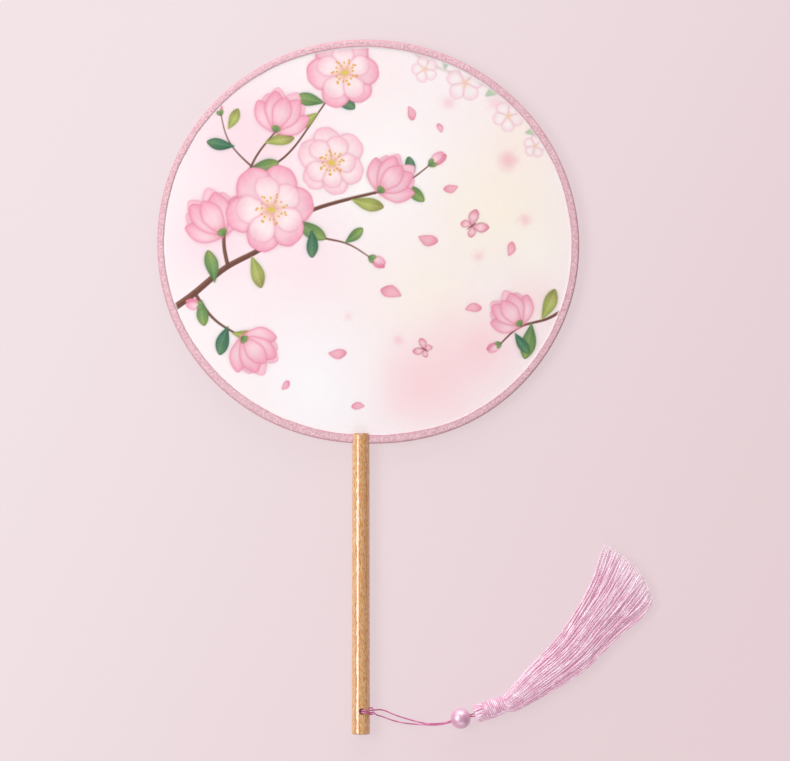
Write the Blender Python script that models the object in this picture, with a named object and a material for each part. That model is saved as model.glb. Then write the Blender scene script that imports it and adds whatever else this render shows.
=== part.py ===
"""Round hand fan with a corded pearl bead and a thread tassel, lying on its back.

Units are metres. +Z points out of the printed front face, +Y along the handle towards the head,
+X to the right of somebody who looks at the front. The fan lies on the surface z = 0, and the
origin is the middle of its footprint, the cord and what is on it left out.
"""

import math

import bmesh
import bpy
import numpy as np
from mathutils import Matrix, Vector

# Clearances and general modelling values
FIT_GAP = 0.0003
REST_GAP = 0.00005
CUT_OVERRUN = 0.001
SMOOTH_ANGLE = math.radians(35)

# Head: the outline of the bound rim is a ring bent by hand, slightly oval. Its radius is given
# as shares, anticlockwise from +X, at equal steps
RIM_RADIUS = 0.1268
RIM_SHARES = (
    *(0.9983, 0.9924, 0.9834, 0.9735, 0.9657, 0.9612),
    *(0.9617, 0.9669, 0.9757, 0.9839, 0.9917, 0.9966),
    *(0.9974, 0.9967, 0.9903, 0.9792, 0.9671, 0.9549),
    *(0.9493, 0.9601, 0.9763, 0.9870, 0.9946, 0.9995),
)
RIM_SEGMENTS = 120
HOOP_WIDTH = 0.0030
HOOP_THICKNESS = 0.0018
CLOTH_THICKNESS = 0.0002

# Binding tape: folded round the rim by hand, so its inner edge wanders
TAPE_THICKNESS = 0.00035
TAPE_LAP = 0.0047
TAPE_LAP_SHARES = (0.98, 0.96, 0.93, 0.83, 0.83, 1.12, 1.14, 0.96)
TAPE_CORNER = 0.0008
TAPE_CORNER_STEPS = 3

# Handle: a turned rod, slotted at the top end
HANDLE_LENGTH = 0.1805
HANDLE_TOP_DIAMETER = 0.0105
HANDLE_BUTT_DIAMETER = 0.0110
HANDLE_OFFSET = -0.0044
HANDLE_LAP = 0.0063
HANDLE_TOP_ROUNDING = 0.0009
HANDLE_BUTT_ROUNDING = 0.0004
HANDLE_SIDES = 48
ROUNDING_STEPS = 3

# Cord hole through the handle, with a flared back mouth for the cord to leave by
HOLE_DIAMETER = 0.0029
HOLE_TO_BUTT = 0.0139
HOLE_OFFSET = 0.0007
HOLE_FRONT_MOUTH_DIAMETER = 0.0041
HOLE_FRONT_MOUTH_DEPTH = 0.0008
HOLE_BACK_MOUTH_DIAMETER = 0.0086
HOLE_BACK_MOUTH_DEPTH = 0.0033
HOLE_SIDES = 24

# Cord: one doubled length, its route as points along the centreline
CORD_DIAMETER = 0.0009
CORD_STEP = 2.1 * CORD_DIAMETER
HITCH_STEP = 1.3 * CORD_DIAMETER
HITCH_POINTS = (
    (0.00455, -0.19390, 0.00485),
    (0.00355, -0.19392, 0.00585),
    (0.00255, -0.19395, 0.00688),
    (0.00170, -0.19392, 0.00772),
    (0.00084, -0.19388, 0.00858),
    (-0.00012, -0.19384, 0.00978),
    (-0.00125, -0.19382, 0.01081),
    (-0.00203, -0.19381, 0.01104),
    (-0.00285, -0.19380, 0.01091),
    (-0.00354, -0.19380, 0.01044),
    (-0.00399, -0.19380, 0.00975),
    (-0.00408, -0.19380, 0.00890),
    (-0.00400, -0.19380, 0.00580),
    (-0.00385, -0.19375, 0.00250),
    (-0.00347, -0.19360, 0.00135),
    (-0.00273, -0.19340, 0.00070),
    (-0.00180, -0.19315, 0.00050),
    (-0.00090, -0.19295, 0.00070),
    (0.00005, -0.19280, 0.00140),
    (0.00090, -0.19272, 0.00250),
    (0.00147, -0.19270, 0.00400),
    (0.00185, -0.19270, 0.00520),
    (0.00240, -0.19275, 0.00630),
    (0.00285, -0.19295, 0.00715),
    (0.00315, -0.19365, 0.00785),
    (0.00325, -0.19460, 0.00806),
    (0.00315, -0.19555, 0.00785),
    (0.00285, -0.19625, 0.00715),
    (0.00240, -0.19645, 0.00630),
    (0.00185, -0.19650, 0.00520),
    (0.00147, -0.19650, 0.00400),
    (0.00090, -0.19645, 0.00250),
    (0.00005, -0.19630, 0.00140),
    (-0.00090, -0.19605, 0.00069),
    (-0.00180, -0.19575, 0.00050),
    (-0.00273, -0.19540, 0.00070),
    (-0.00347, -0.19515, 0.00135),
    (-0.00385, -0.19500, 0.00250),
    (-0.00400, -0.19500, 0.00580),
    (-0.00408, -0.19500, 0.00890),
    (-0.00399, -0.19500, 0.00975),
    (-0.00354, -0.19502, 0.01044),
    (-0.00285, -0.19504, 0.01091),
    (-0.00203, -0.19508, 0.01104),
    (-0.00125, -0.19512, 0.01081),
    (-0.00012, -0.19518, 0.00978),
    (0.00084, -0.19522, 0.00858),
    (0.00170, -0.19525, 0.00772),
    (0.00255, -0.19530, 0.00688),
    (0.00355, -0.19570, 0.00585),
    (0.00450, -0.19645, 0.00485),
)
LOOP_POINTS = (
    (0.00495, -0.19390, 0.00445),
    (0.00730, -0.19400, 0.00270),
    (0.00950, -0.19450, 0.00150),
    (0.01320, -0.19610, 0.00075),
    (0.01740, -0.19780, 0.00052),
    (0.02170, -0.19920, 0.00050),
    (0.02600, -0.20045, 0.00050),
    (0.03060, -0.20165, 0.00075),
    (0.03400, -0.20225, 0.00150),
    (0.03750, -0.20240, 0.00284),
    (0.04130, -0.20220, 0.00430),
    (0.04530, -0.20158, 0.00541),
    (0.04948, -0.20045, 0.00561),
    (0.05522, -0.19870, 0.00561),
    (0.06096, -0.19690, 0.00565),
    (0.06343, -0.19612, 0.00575),
    (0.06528, -0.19500, 0.00580),
    (0.06685, -0.19366, 0.00580),
    (0.06821, -0.19369, 0.00580),
    (0.06924, -0.19468, 0.00580),
    (0.06929, -0.19610, 0.00580),
    (0.06833, -0.19716, 0.00580),
    (0.06614, -0.19750, 0.00600),
    (0.06392, -0.19758, 0.00640),
    (0.06132, -0.19770, 0.00665),
    (0.05558, -0.19930, 0.00669),
    (0.04984, -0.20105, 0.00669),
    (0.04540, -0.20217, 0.00655),
    (0.04130, -0.20280, 0.00560),
    (0.03750, -0.20303, 0.00410),
    (0.03400, -0.20298, 0.00270),
    (0.02970, -0.20288, 0.00145),
    (0.02470, -0.20255, 0.00065),
    (0.01980, -0.20185, 0.00052),
    (0.01500, -0.20065, 0.00075),
    (0.01070, -0.19910, 0.00150),
    (0.00770, -0.19785, 0.00270),
    (0.00488, -0.19680, 0.00445),
)

# Bead: a pearl on the doubled cord
BEAD_DIAMETER = 0.0122
BEAD_BORE_DIAMETER = 0.0029
BEAD_X = 0.0554
BEAD_Y = -0.1990
BEAD_TURN = math.radians(17)
BEAD_SIDES = 32
BEAD_ARC_STEPS = 16

# Tassel: a bundle of threads folded over the cord's end, wound round at the neck
TASSEL_X = 0.0646
TASSEL_Y = -0.1966
TASSEL_TURN = math.radians(22)
TASSEL_HEAD_DIAMETER = 0.0110
TASSEL_HEAD_LENGTH = 0.0056
TASSEL_CORE_DIAMETER = 0.0069
TASSEL_NECK_DIAMETER = 0.0105
TASSEL_NECK_LENGTH = 0.0132
SOCKET_DIAMETER = 0.0054
SOCKET_DEPTH = 0.0068
SOCKET_SIDES = 24
FOLD_BAR_DIAMETER = 0.0016
FOLD_BAR_DEPTH = 0.0032
SKIRT_REACH = 0.1080
SKIRT_TURN = math.radians(46.2)
SKIRT_END_WIDTH = 0.0435
SKIRT_BULGE = 0.0045
DOME_WIDTH_SHARE = 0.5
DOME_REACH_SHARE = 0.75
THREAD_LOBES = 14
POINTS_PER_LOBE = 4
HEAD_LOBE_SHARE = 0.05
SKIRT_LOBE_SHARE = 0.12

# The head's outline: shares of its length, and of its radius
HEAD_OUTLINE_SHARES = (
    (0.00, 0.78),
    (0.10, 0.93),
    (0.32, 1.00),
    (0.68, 1.00),
    (0.88, 0.92),
)

# The skirt's sections: reach along and to the side, as shares of SKIRT_REACH; then width, as a
# share of SKIRT_END_WIDTH, height, as a share of the neck's diameter, and the share of the turn
# from the neck's heading to the skirt's
SKIRT_SHARES = (
    (0.000, 0.000, 0.241, 0.95, 0.00),
    (0.093, -0.031, 0.345, 0.90, 0.50),
    (0.228, -0.049, 0.453, 0.86, 1.00),
    (0.449, -0.075, 0.556, 0.82, 1.00),
    (0.667, -0.062, 0.644, 0.78, 1.00),
    (0.852, -0.046, 0.850, 0.70, 0.92),
    (1.000, -0.004, 1.000, 0.60, 0.75),
)
SKIRT_RINGS = 20

# Winding round the neck, and its own end laid along the side
WRAP_THREAD_DIAMETER = 0.00083
WRAP_TURNS = 9.5
WRAP_POINTS_PER_TURN = 24
TAIL_THREAD_DIAMETER = 0.0018
TAIL_ANGLE = math.radians(-55)
TAIL_POINTS = 9

# Worked out from the values above
HANDLE_HEIGHT = HANDLE_BUTT_DIAMETER / 2
HEAD_HALF = HOOP_THICKNESS / 2 + CLOTH_THICKNESS + TAPE_THICKNESS + 2 * FIT_GAP
CLOTH_LOW = HOOP_THICKNESS / 2 + FIT_GAP
HOOP_INSET = TAPE_THICKNESS + FIT_GAP


def colour_material(name, colour, roughness, metallic=0.0):
    """A Principled material in one colour."""
    material = bpy.data.materials.new(name)
    material.use_nodes = True
    shader = material.node_tree.nodes["Principled BSDF"]
    shader.inputs["Base Color"].default_value = (*colour, 1)
    shader.inputs["Roughness"].default_value = roughness
    shader.inputs["Metallic"].default_value = metallic
    material.diffuse_color = (*colour, 1)
    return material


def add_object(name, mesh, material=None, place=None):
    """Links a mesh as an object, smooth apart from its sharp edges."""
    made = bpy.data.objects.new(name, mesh)
    bpy.context.collection.objects.link(made)
    mesh.shade_smooth()
    mesh.set_sharp_from_angle(angle=SMOOTH_ANGLE)
    if material:
        mesh.materials.append(material)
    if place:
        made.matrix_world = place
    return made


def mesh_from(name, points, faces):
    """A mesh with its faces turned outwards."""
    mesh = bpy.data.meshes.new(name)
    mesh.from_pydata([tuple(p) for p in points], [], faces)
    shell = bmesh.new()
    shell.from_mesh(mesh)
    bmesh.ops.recalc_face_normals(shell, faces=shell.faces)
    shell.to_mesh(mesh)
    shell.free()
    return mesh


def stacked_rings(name, rings, first_tip=None, last_tip=None, closed_up=False):
    """A skin over equal rings of points. It ends in a tip, a flat face, or its own first ring."""
    count = len(rings[0])
    points = [p for ring in rings for p in ring]
    faces = []
    spans = len(rings) if closed_up else len(rings) - 1
    for i in range(spans):
        low = i * count
        high = (i + 1) % len(rings) * count
        for j in range(count):
            k = (j + 1) % count
            faces.append((low + j, low + k, high + k, high + j))
    if not closed_up:
        last = (len(rings) - 1) * count
        for tip, start in ((first_tip, 0), (last_tip, last)):
            if tip is None:
                faces.append(tuple(range(start, start + count)))
                continue
            points.append(tip)
            centre = len(points) - 1
            faces += [(start + j, start + (j + 1) % count, centre) for j in range(count)]
    return mesh_from(name, points, faces)


def turned(name, outline, sides, closed_up=False):
    """A solid turned about its own Z from an outline of (radius, height)."""
    rings = []
    for radius, height in outline:
        steps = (2 * math.pi * i / sides for i in range(sides))
        rings.append([(radius * math.cos(a), radius * math.sin(a), height) for a in steps])
    return stacked_rings(name, rings, closed_up=closed_up)


def cut(target, cutter_mesh, place, operation="DIFFERENCE"):
    """Cuts a mesh out of an object with a Boolean, or joins it on. The cutter stays as a guide."""
    cutter = add_object(cutter_mesh.name, cutter_mesh, place=place)
    cutter.hide_render = True
    cutter.display_type = "WIRE"
    modifier = target.modifiers.new(cutter_mesh.name, "BOOLEAN")
    modifier.object = cutter
    modifier.operation = operation
    modifier.solver = "EXACT"


def smooth_route(points, step, squeeze=1.0):
    """Evenly spaced points on a natural cubic curve through the given ones."""
    knots = np.array(points, float)
    gaps = np.linalg.norm(np.diff(knots, axis=0), axis=1) ** squeeze
    at = np.concatenate([[0.0], np.cumsum(gaps)])
    count = len(knots)
    system = np.eye(count)
    right = np.zeros_like(knots)
    for i in range(1, count - 1):
        system[i, i - 1 : i + 2] = gaps[i - 1], 2 * (gaps[i - 1] + gaps[i]), gaps[i]
        rise = (knots[i + 1] - knots[i]) / gaps[i] - (knots[i] - knots[i - 1]) / gaps[i - 1]
        right[i] = 6 * rise
    bend = np.linalg.solve(system, right)
    fine_at = np.linspace(0, at[-1], 60 * count)
    piece = np.clip(np.searchsorted(at, fine_at) - 1, 0, count - 2)
    before = (fine_at - at[piece])[:, None]
    after = (at[piece + 1] - fine_at)[:, None]
    width = gaps[piece][:, None]
    start_bend, end_bend = bend[piece], bend[piece + 1]
    fine = (
        (start_bend * after**3 + end_bend * before**3) / (6 * width)
        + (knots[piece] / width - start_bend * width / 6) * after
        + (knots[piece + 1] / width - end_bend * width / 6) * before
    )
    travelled = np.concatenate([[0.0], np.cumsum(np.linalg.norm(np.diff(fine, axis=0), axis=1))])
    wanted = np.linspace(0, travelled[-1], max(2, round(travelled[-1] / step)) + 1)
    return np.column_stack([np.interp(wanted, travelled, fine[:, axis]) for axis in range(3)])


def tube(name, route, diameter, material, resolution):
    """A round tube with filled caps along a route of points."""
    curve = bpy.data.curves.new(name, "CURVE")
    curve.dimensions = "3D"
    spline = curve.splines.new("POLY")
    spline.points.add(len(route) - 1)
    for point, place in zip(spline.points, route):
        point.co = (*place, 1)
    curve.bevel_depth = diameter / 2
    curve.bevel_resolution = resolution
    curve.render_resolution_u = 0
    curve.use_fill_caps = True
    curve.materials.append(material)
    made = bpy.data.objects.new(name, curve)
    bpy.context.collection.objects.link(made)
    return made


def smooth_rows(table, count):
    """Evenly spaced rows on a smooth curve through the rows of a table of shares."""
    rows = np.array(table, float)
    columns = []
    wanted = np.linspace(rows[0, 0], rows[-1, 0], count)
    for i in range(rows.shape[1]):
        pairs = [(row[0], row[i], 0.0) for row in rows]
        fine = smooth_route(pairs, (rows[-1, 0] - rows[0, 0]) / (10 * count))
        columns.append(np.interp(wanted, fine[:, 0], fine[:, 1]))
    return np.column_stack(columns)


def ring_share(shares, angle):
    """A share at an angle, on a smooth closed curve through equally spaced ones."""
    count = len(shares)
    place = angle / (2 * math.pi) * count
    first = math.floor(place)
    part = place - first
    before, start, end, after = (shares[(first + i) % count] for i in (-1, 0, 1, 2))
    slope = (end - before) / 2
    bend = before - 2.5 * start + 2 * end - after / 2
    twist = (after - before) / 2 + 1.5 * (start - end)
    return start + part * (slope + part * (bend + part * twist))


def rim_point(angle, inset):
    """A point in the head's plane, that far inside the rim's outline."""
    step = math.radians(1)
    before, point, after = (
        Vector((math.cos(a), math.sin(a))) * RIM_RADIUS * ring_share(RIM_SHARES, a)
        for a in (angle - step, angle, angle + step)
    )
    along = (after - before).normalized()
    return point + Vector((-along.y, along.x)) * inset


def rim_low(offset, half_width):
    """The rim outline's lowest place between two lines along the handle, from the head's centre."""
    angles = np.linspace(math.pi, 2 * math.pi, 20 * RIM_SEGMENTS)
    places = [rim_point(angle, 0) for angle in angles]
    return min(p.y for p in places if abs(p.x - offset) <= half_width)


def rim_top():
    """How far the head reaches above its centre."""
    return max(rim_point(angle, 0).y for angle in rim_angles())


def rim_angles():
    """The angles of the rim's segments."""
    return [2 * math.pi * i / RIM_SEGMENTS for i in range(RIM_SEGMENTS)]


def layout():
    """Where the head's centre and the handle's ends lie along Y, with the whole fan centred."""
    top = rim_low(HANDLE_OFFSET, HANDLE_TOP_DIAMETER / 2) + HANDLE_LAP
    butt = top - HANDLE_LENGTH
    shift = -(rim_top() + butt) / 2
    return shift, top + shift, butt + shift


HEAD_Y, HANDLE_TOP_Y, HANDLE_BUTT_Y = layout()
HOLE_X = HANDLE_OFFSET + HOLE_OFFSET
HOLE_Y = HANDLE_BUTT_Y + HOLE_TO_BUTT


def head_point(angle, inset, height):
    """A point of the head in space, height being measured from its middle plane."""
    flat = rim_point(angle, inset)
    return (flat.x, flat.y + HEAD_Y, HANDLE_HEIGHT + height)


def make_hoop(material):
    """The bent bamboo strip inside the rim."""
    low, high = HOOP_INSET, HOOP_INSET + HOOP_WIDTH
    half = HOOP_THICKNESS / 2
    section = ((low, -half), (low, half), (high, half), (high, -half))
    rings = [[head_point(a, inset, z) for inset, z in section] for a in rim_angles()]
    return add_object("hoop", stacked_rings("hoop", rings, closed_up=True), material)


def make_face(name, side, material):
    """One cloth panel, glued on the hoop's front (side 1) or back (side -1)."""
    rings = []
    for height in (CLOTH_LOW, CLOTH_LOW + CLOTH_THICKNESS):
        rings.append([head_point(a, HOOP_INSET, side * height) for a in rim_angles()])
    return add_object(name, stacked_rings(name, rings), material)


def tape_section(lap):
    """The folded tape's section as (inset, height) points, outside first and then the inside."""
    outside = []
    for i in range(TAPE_CORNER_STEPS + 1):
        turn = math.pi / 2 * i / TAPE_CORNER_STEPS
        inset = TAPE_CORNER * (1 - math.cos(turn))
        height = HEAD_HALF - TAPE_CORNER * (1 - math.sin(turn))
        outside.append((inset, height))
    inner = HEAD_HALF - TAPE_THICKNESS
    upper = [*outside, (lap, HEAD_HALF), (lap, inner), (TAPE_THICKNESS, inner)]
    lower = [(inset, -height) for inset, height in reversed(upper)]
    return upper + lower


def make_binding(material):
    """The pink tape folded round the rim."""
    rings = []
    for angle in rim_angles():
        section = tape_section(TAPE_LAP * ring_share(TAPE_LAP_SHARES, angle))
        rings.append([head_point(angle, inset, z) for inset, z in section])
    mesh = stacked_rings("edge_binding", rings, closed_up=True)
    return add_object("edge_binding", mesh, material)


def rounded_end(radius, end, rounding, towards):
    """Outline points of a rod's rounded end, from the side to the flat."""
    points = []
    for i in range(ROUNDING_STEPS + 1):
        turn = math.pi / 2 * i / ROUNDING_STEPS
        rim = radius - rounding * (1 - math.cos(turn))
        points.append((rim, end - towards * rounding * (1 - math.sin(turn))))
    return points


def make_handle(material):
    """The tapered rod with its slot and its cord hole."""
    top, butt = HANDLE_TOP_DIAMETER / 2, HANDLE_BUTT_DIAMETER / 2
    outline = list(reversed(rounded_end(butt, 0, HANDLE_BUTT_ROUNDING, -1)))
    outline += rounded_end(top, HANDLE_LENGTH, HANDLE_TOP_ROUNDING, 1)
    along_y = Matrix.Rotation(-math.pi / 2, 4, "X")
    place = Matrix.Translation((HANDLE_OFFSET, HANDLE_BUTT_Y, HANDLE_HEIGHT)) @ along_y
    handle = add_object("handle", turned("handle", outline, HANDLE_SIDES), material, place)

    slot_end = rim_low(HANDLE_OFFSET, HANDLE_TOP_DIAMETER / 2) + HEAD_Y - FIT_GAP
    slot_low = (-HANDLE_TOP_DIAMETER, slot_end, -HEAD_HALF - FIT_GAP)
    slot_high = (HANDLE_TOP_DIAMETER, HANDLE_TOP_Y + CUT_OVERRUN, HEAD_HALF + FIT_GAP)
    lift = Matrix.Translation((HANDLE_OFFSET, 0, HANDLE_HEIGHT))
    cut(handle, box_mesh("slot_cutter", slot_low, slot_high), lift)

    hole_place = Matrix.Translation((HOLE_X, HOLE_Y, 0))
    cut(handle, hole_mesh(), hole_place)
    return handle


def box_mesh(name, low, high):
    """A box between two corners."""
    rings = []
    for z in (low[2], high[2]):
        corners = ((low[0], low[1]), (high[0], low[1]), (high[0], high[1]), (low[0], high[1]))
        rings.append([(x, y, z) for x, y in corners])
    return stacked_rings(name, rings)


def hole_mesh():
    """The cord hole with its two wider mouths, as one turned cutter along Z."""
    bore = HOLE_DIAMETER / 2
    back_slope = (HOLE_BACK_MOUTH_DIAMETER / 2 - bore) / HOLE_BACK_MOUTH_DEPTH
    front_slope = (HOLE_FRONT_MOUTH_DIAMETER / 2 - bore) / HOLE_FRONT_MOUTH_DEPTH
    front = HANDLE_BUTT_DIAMETER
    outline = (
        (bore + back_slope * (HOLE_BACK_MOUTH_DEPTH + CUT_OVERRUN), -CUT_OVERRUN),
        (bore, HOLE_BACK_MOUTH_DEPTH),
        (bore, front - HOLE_FRONT_MOUTH_DEPTH),
        (bore + front_slope * (HOLE_FRONT_MOUTH_DEPTH + CUT_OVERRUN), front + CUT_OVERRUN),
    )
    return turned("hole_cutter", outline, HOLE_SIDES)


def make_cord(material):
    """The hitch on the handle and the doubled free length, each one tube."""
    hitch = smooth_route(HITCH_POINTS, HITCH_STEP)
    loop = smooth_route(LOOP_POINTS, CORD_STEP)
    tube("cord_hitch", hitch, CORD_DIAMETER, material, 2)
    tube("cord_loop", loop, CORD_DIAMETER, material, 2)


def make_bead(material):
    """The pearl bead, turned with its bore."""
    radius, bore = BEAD_DIAMETER / 2, BEAD_BORE_DIAMETER / 2
    reach = math.acos(bore / radius)
    outline = []
    for i in range(BEAD_ARC_STEPS + 1):
        turn = -reach + 2 * reach * i / BEAD_ARC_STEPS
        outline.append((radius * math.cos(turn), radius * math.sin(turn)))
    along_x = Matrix.Rotation(BEAD_TURN, 4, "Z") @ Matrix.Rotation(math.pi / 2, 4, "Y")
    place = Matrix.Translation((BEAD_X, BEAD_Y, radius + REST_GAP)) @ along_x
    mesh = turned("bead", outline, BEAD_SIDES, closed_up=True)
    return add_object("bead", mesh, material, place)


def lobe_factor(turn, depth):
    """How far a lobed outline lies out at a turn, 1 at the crests."""
    return 1 - depth * (1 - math.cos(THREAD_LOBES * turn)) / 2


def tassel_height():
    """The height of the tassel's axis, at which its head rests on the surface."""
    return TASSEL_HEAD_DIAMETER / 2 + REST_GAP


def section_ring(centre, heading, half_width, half_height, depth):
    """One ring of the thread bundle, square to a heading in the plane."""
    across = Vector((-math.sin(heading), math.cos(heading), 0))
    count = THREAD_LOBES * POINTS_PER_LOBE
    ring = []
    for i in range(count):
        turn = 2 * math.pi * i / count
        out = lobe_factor(turn, depth)
        side = half_width * out * math.cos(turn)
        rise = half_height * out * math.sin(turn)
        ring.append(Vector(centre) + across * side + Vector((0, 0, rise)))
    return ring


def neck_rings():
    """The folded head and the neck's core as rings along the tassel's straight axis."""
    axis = Vector((math.cos(TASSEL_TURN), math.sin(TASSEL_TURN), 0))
    start = Vector((TASSEL_X, TASSEL_Y, tassel_height()))
    radius, core = TASSEL_HEAD_DIAMETER / 2, TASSEL_CORE_DIAMETER / 2
    stations = []
    for along, out in HEAD_OUTLINE_SHARES:
        stations.append((along * TASSEL_HEAD_LENGTH, out * radius, HEAD_LOBE_SHARE))
    stations.append((TASSEL_HEAD_LENGTH, core, 0))
    stations.append((TASSEL_HEAD_LENGTH + TASSEL_NECK_LENGTH, core, 0))
    rings = []
    for along, out, depth in stations:
        rings.append(section_ring(start + axis * along, TASSEL_TURN, out, out, depth))
    return rings


def skirt_start():
    """Where the skirt leaves the neck."""
    reach = TASSEL_HEAD_LENGTH + TASSEL_NECK_LENGTH + FIT_GAP
    axis = Vector((math.cos(TASSEL_TURN), math.sin(TASSEL_TURN), 0))
    return Vector((TASSEL_X, TASSEL_Y, tassel_height())) + axis * reach


def skirt_rings():
    """The free threads as rings, flatter and wider towards their ends."""
    chord = Vector((math.cos(SKIRT_TURN), math.sin(SKIRT_TURN), 0))
    side_way = Vector((-math.sin(SKIRT_TURN), math.cos(SKIRT_TURN), 0))
    start = skirt_start()
    rings = []
    for along, side, wide, high, turned_share in smooth_rows(SKIRT_SHARES, SKIRT_RINGS):
        half_height = high * TASSEL_NECK_DIAMETER / 2
        centre = start + chord * along * SKIRT_REACH + side_way * side * SKIRT_REACH
        centre.z = max(half_height + REST_GAP, start.z * (1 - along))
        heading = TASSEL_TURN + (SKIRT_TURN - TASSEL_TURN) * min(1.0, turned_share)
        half_width = wide * SKIRT_END_WIDTH / 2
        depth = SKIRT_LOBE_SHARE * along
        rings.append(section_ring(centre, heading, half_width, half_height, depth))
    return rings, chord


def make_tassel(material):
    """The folded, bound and spread bundle of threads, with the socket that takes the cord."""
    skirt, chord = skirt_rings()
    middle = sum(skirt[-1], Vector()) / len(skirt[-1])
    dome_reach = chord * SKIRT_BULGE * DOME_REACH_SHARE
    domed = [middle.lerp(p, DOME_WIDTH_SHARE) + dome_reach for p in skirt[-1]]
    rings = neck_rings() + skirt + [domed]
    mesh = stacked_rings("tassel_threads", rings, last_tip=middle + chord * SKIRT_BULGE)
    threads = add_object("tassel_threads", mesh, material)

    socket = turned(
        "socket_cutter",
        ((SOCKET_DIAMETER / 2, -CUT_OVERRUN), (SOCKET_DIAMETER / 2, SOCKET_DEPTH)),
        SOCKET_SIDES,
    )
    along_x = Matrix.Rotation(TASSEL_TURN, 4, "Z") @ Matrix.Rotation(math.pi / 2, 4, "Y")
    mouth = Matrix.Translation((TASSEL_X, TASSEL_Y, tassel_height())) @ along_x
    cut(threads, socket, mouth)

    half_span = SOCKET_DIAMETER / 2 + CUT_OVERRUN
    bar = turned(
        "fold_bar",
        ((FOLD_BAR_DIAMETER / 2, -half_span), (FOLD_BAR_DIAMETER / 2, half_span)),
        SOCKET_SIDES,
    )
    axis = Vector((math.cos(TASSEL_TURN), math.sin(TASSEL_TURN), 0))
    bar_place = Vector((TASSEL_X, TASSEL_Y, tassel_height())) + axis * FOLD_BAR_DEPTH
    cut(threads, bar, Matrix.Translation(bar_place), "UNION")
    return threads


def wrap_route():
    """The winding's centreline, straight for one thread at both ends."""
    radius = TASSEL_CORE_DIAMETER / 2 + FIT_GAP + WRAP_THREAD_DIAMETER / 2
    room = TASSEL_NECK_LENGTH - 2 * FIT_GAP - WRAP_THREAD_DIAMETER
    first = TASSEL_HEAD_LENGTH + FIT_GAP + WRAP_THREAD_DIAMETER / 2
    count = round(WRAP_TURNS * WRAP_POINTS_PER_TURN)
    axis = Vector((math.cos(TASSEL_TURN), math.sin(TASSEL_TURN), 0))
    across = Vector((-math.sin(TASSEL_TURN), math.cos(TASSEL_TURN), 0))
    up = Vector((0, 0, 1))
    start = Vector((TASSEL_X, TASSEL_Y, tassel_height()))
    route = []
    for i in range(count + 1):
        turn = 2 * math.pi * i / WRAP_POINTS_PER_TURN
        along = first + room * i / count
        out = across * math.cos(turn) * radius + up * math.sin(turn) * radius
        route.append(start + axis * along + out)
    return route


def least_gap(route, diameter, apart):
    """The least clear gap of a tube to itself, points nearer than apart along it left out."""
    points = np.array([tuple(p) for p in route])
    least = math.inf
    for i in range(len(points) - apart):
        rest = points[i + apart :]
        least = min(least, float(np.linalg.norm(rest - points[i], axis=1).min()))
    return least - diameter


def make_wrap(material):
    """The thread wound round the neck."""
    route = wrap_route()
    gap = least_gap(route, WRAP_THREAD_DIAMETER, WRAP_POINTS_PER_TURN // 2)
    print("tassel_wrap: least gap to itself", round(gap * 1000, 3), "mm")
    return tube("tassel_wrap", route, WRAP_THREAD_DIAMETER, material, 1)


def make_tail(material):
    """The winding thread's own end, laid along the side of the neck."""
    wound = TASSEL_CORE_DIAMETER / 2 + 2 * FIT_GAP + WRAP_THREAD_DIAMETER
    radius = wound + TAIL_THREAD_DIAMETER / 2
    axis = Vector((math.cos(TASSEL_TURN), math.sin(TASSEL_TURN), 0))
    across = Vector((-math.sin(TASSEL_TURN), math.cos(TASSEL_TURN), 0))
    out = across * math.sin(TAIL_ANGLE) + Vector((0, 0, math.cos(TAIL_ANGLE)))
    start = Vector((TASSEL_X, TASSEL_Y, tassel_height())) + out * radius
    first = TASSEL_HEAD_LENGTH + FIT_GAP
    length = TASSEL_NECK_LENGTH - 2 * FIT_GAP
    route = []
    for i in range(TAIL_POINTS):
        along = first + length * i / (TAIL_POINTS - 1)
        route.append(start + axis * along)
    return tube("wrap_tail", route, TAIL_THREAD_DIAMETER, material, 2)


def main():
    for old in list(bpy.data.objects):
        bpy.data.objects.remove(old)
    bamboo = colour_material("bamboo", (0.72, 0.55, 0.33), 0.6)
    cloth = colour_material("printed_cloth", (0.95, 0.80, 0.81), 0.75)
    tape = colour_material("pink_tape", (0.74, 0.45, 0.50), 0.7)
    wood = colour_material("beech", (0.70, 0.43, 0.20), 0.35)
    cord = colour_material("cord", (0.52, 0.10, 0.24), 0.6)
    pearl = colour_material("pearl", (0.85, 0.55, 0.66), 0.2)
    thread = colour_material("thread", (0.78, 0.45, 0.58), 0.5)
    make_hoop(bamboo)
    make_face("face_front", 1, cloth)
    make_face("face_back", -1, cloth)
    make_binding(tape)
    make_handle(wood)
    make_cord(cord)
    make_bead(pearl)
    make_tassel(thread)
    make_wrap(thread)
    make_tail(thread)


main()
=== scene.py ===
"""Looks of the round hand fan: printed cloth, folded tape, beech handle, cord, pearl and tassel.

Lengths with no unit in their name are in metres. The print is drawn in millimetres from the
middle of the head, x to the right and y up, and its colours are given as a screen shows them.
"""

import math

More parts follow.
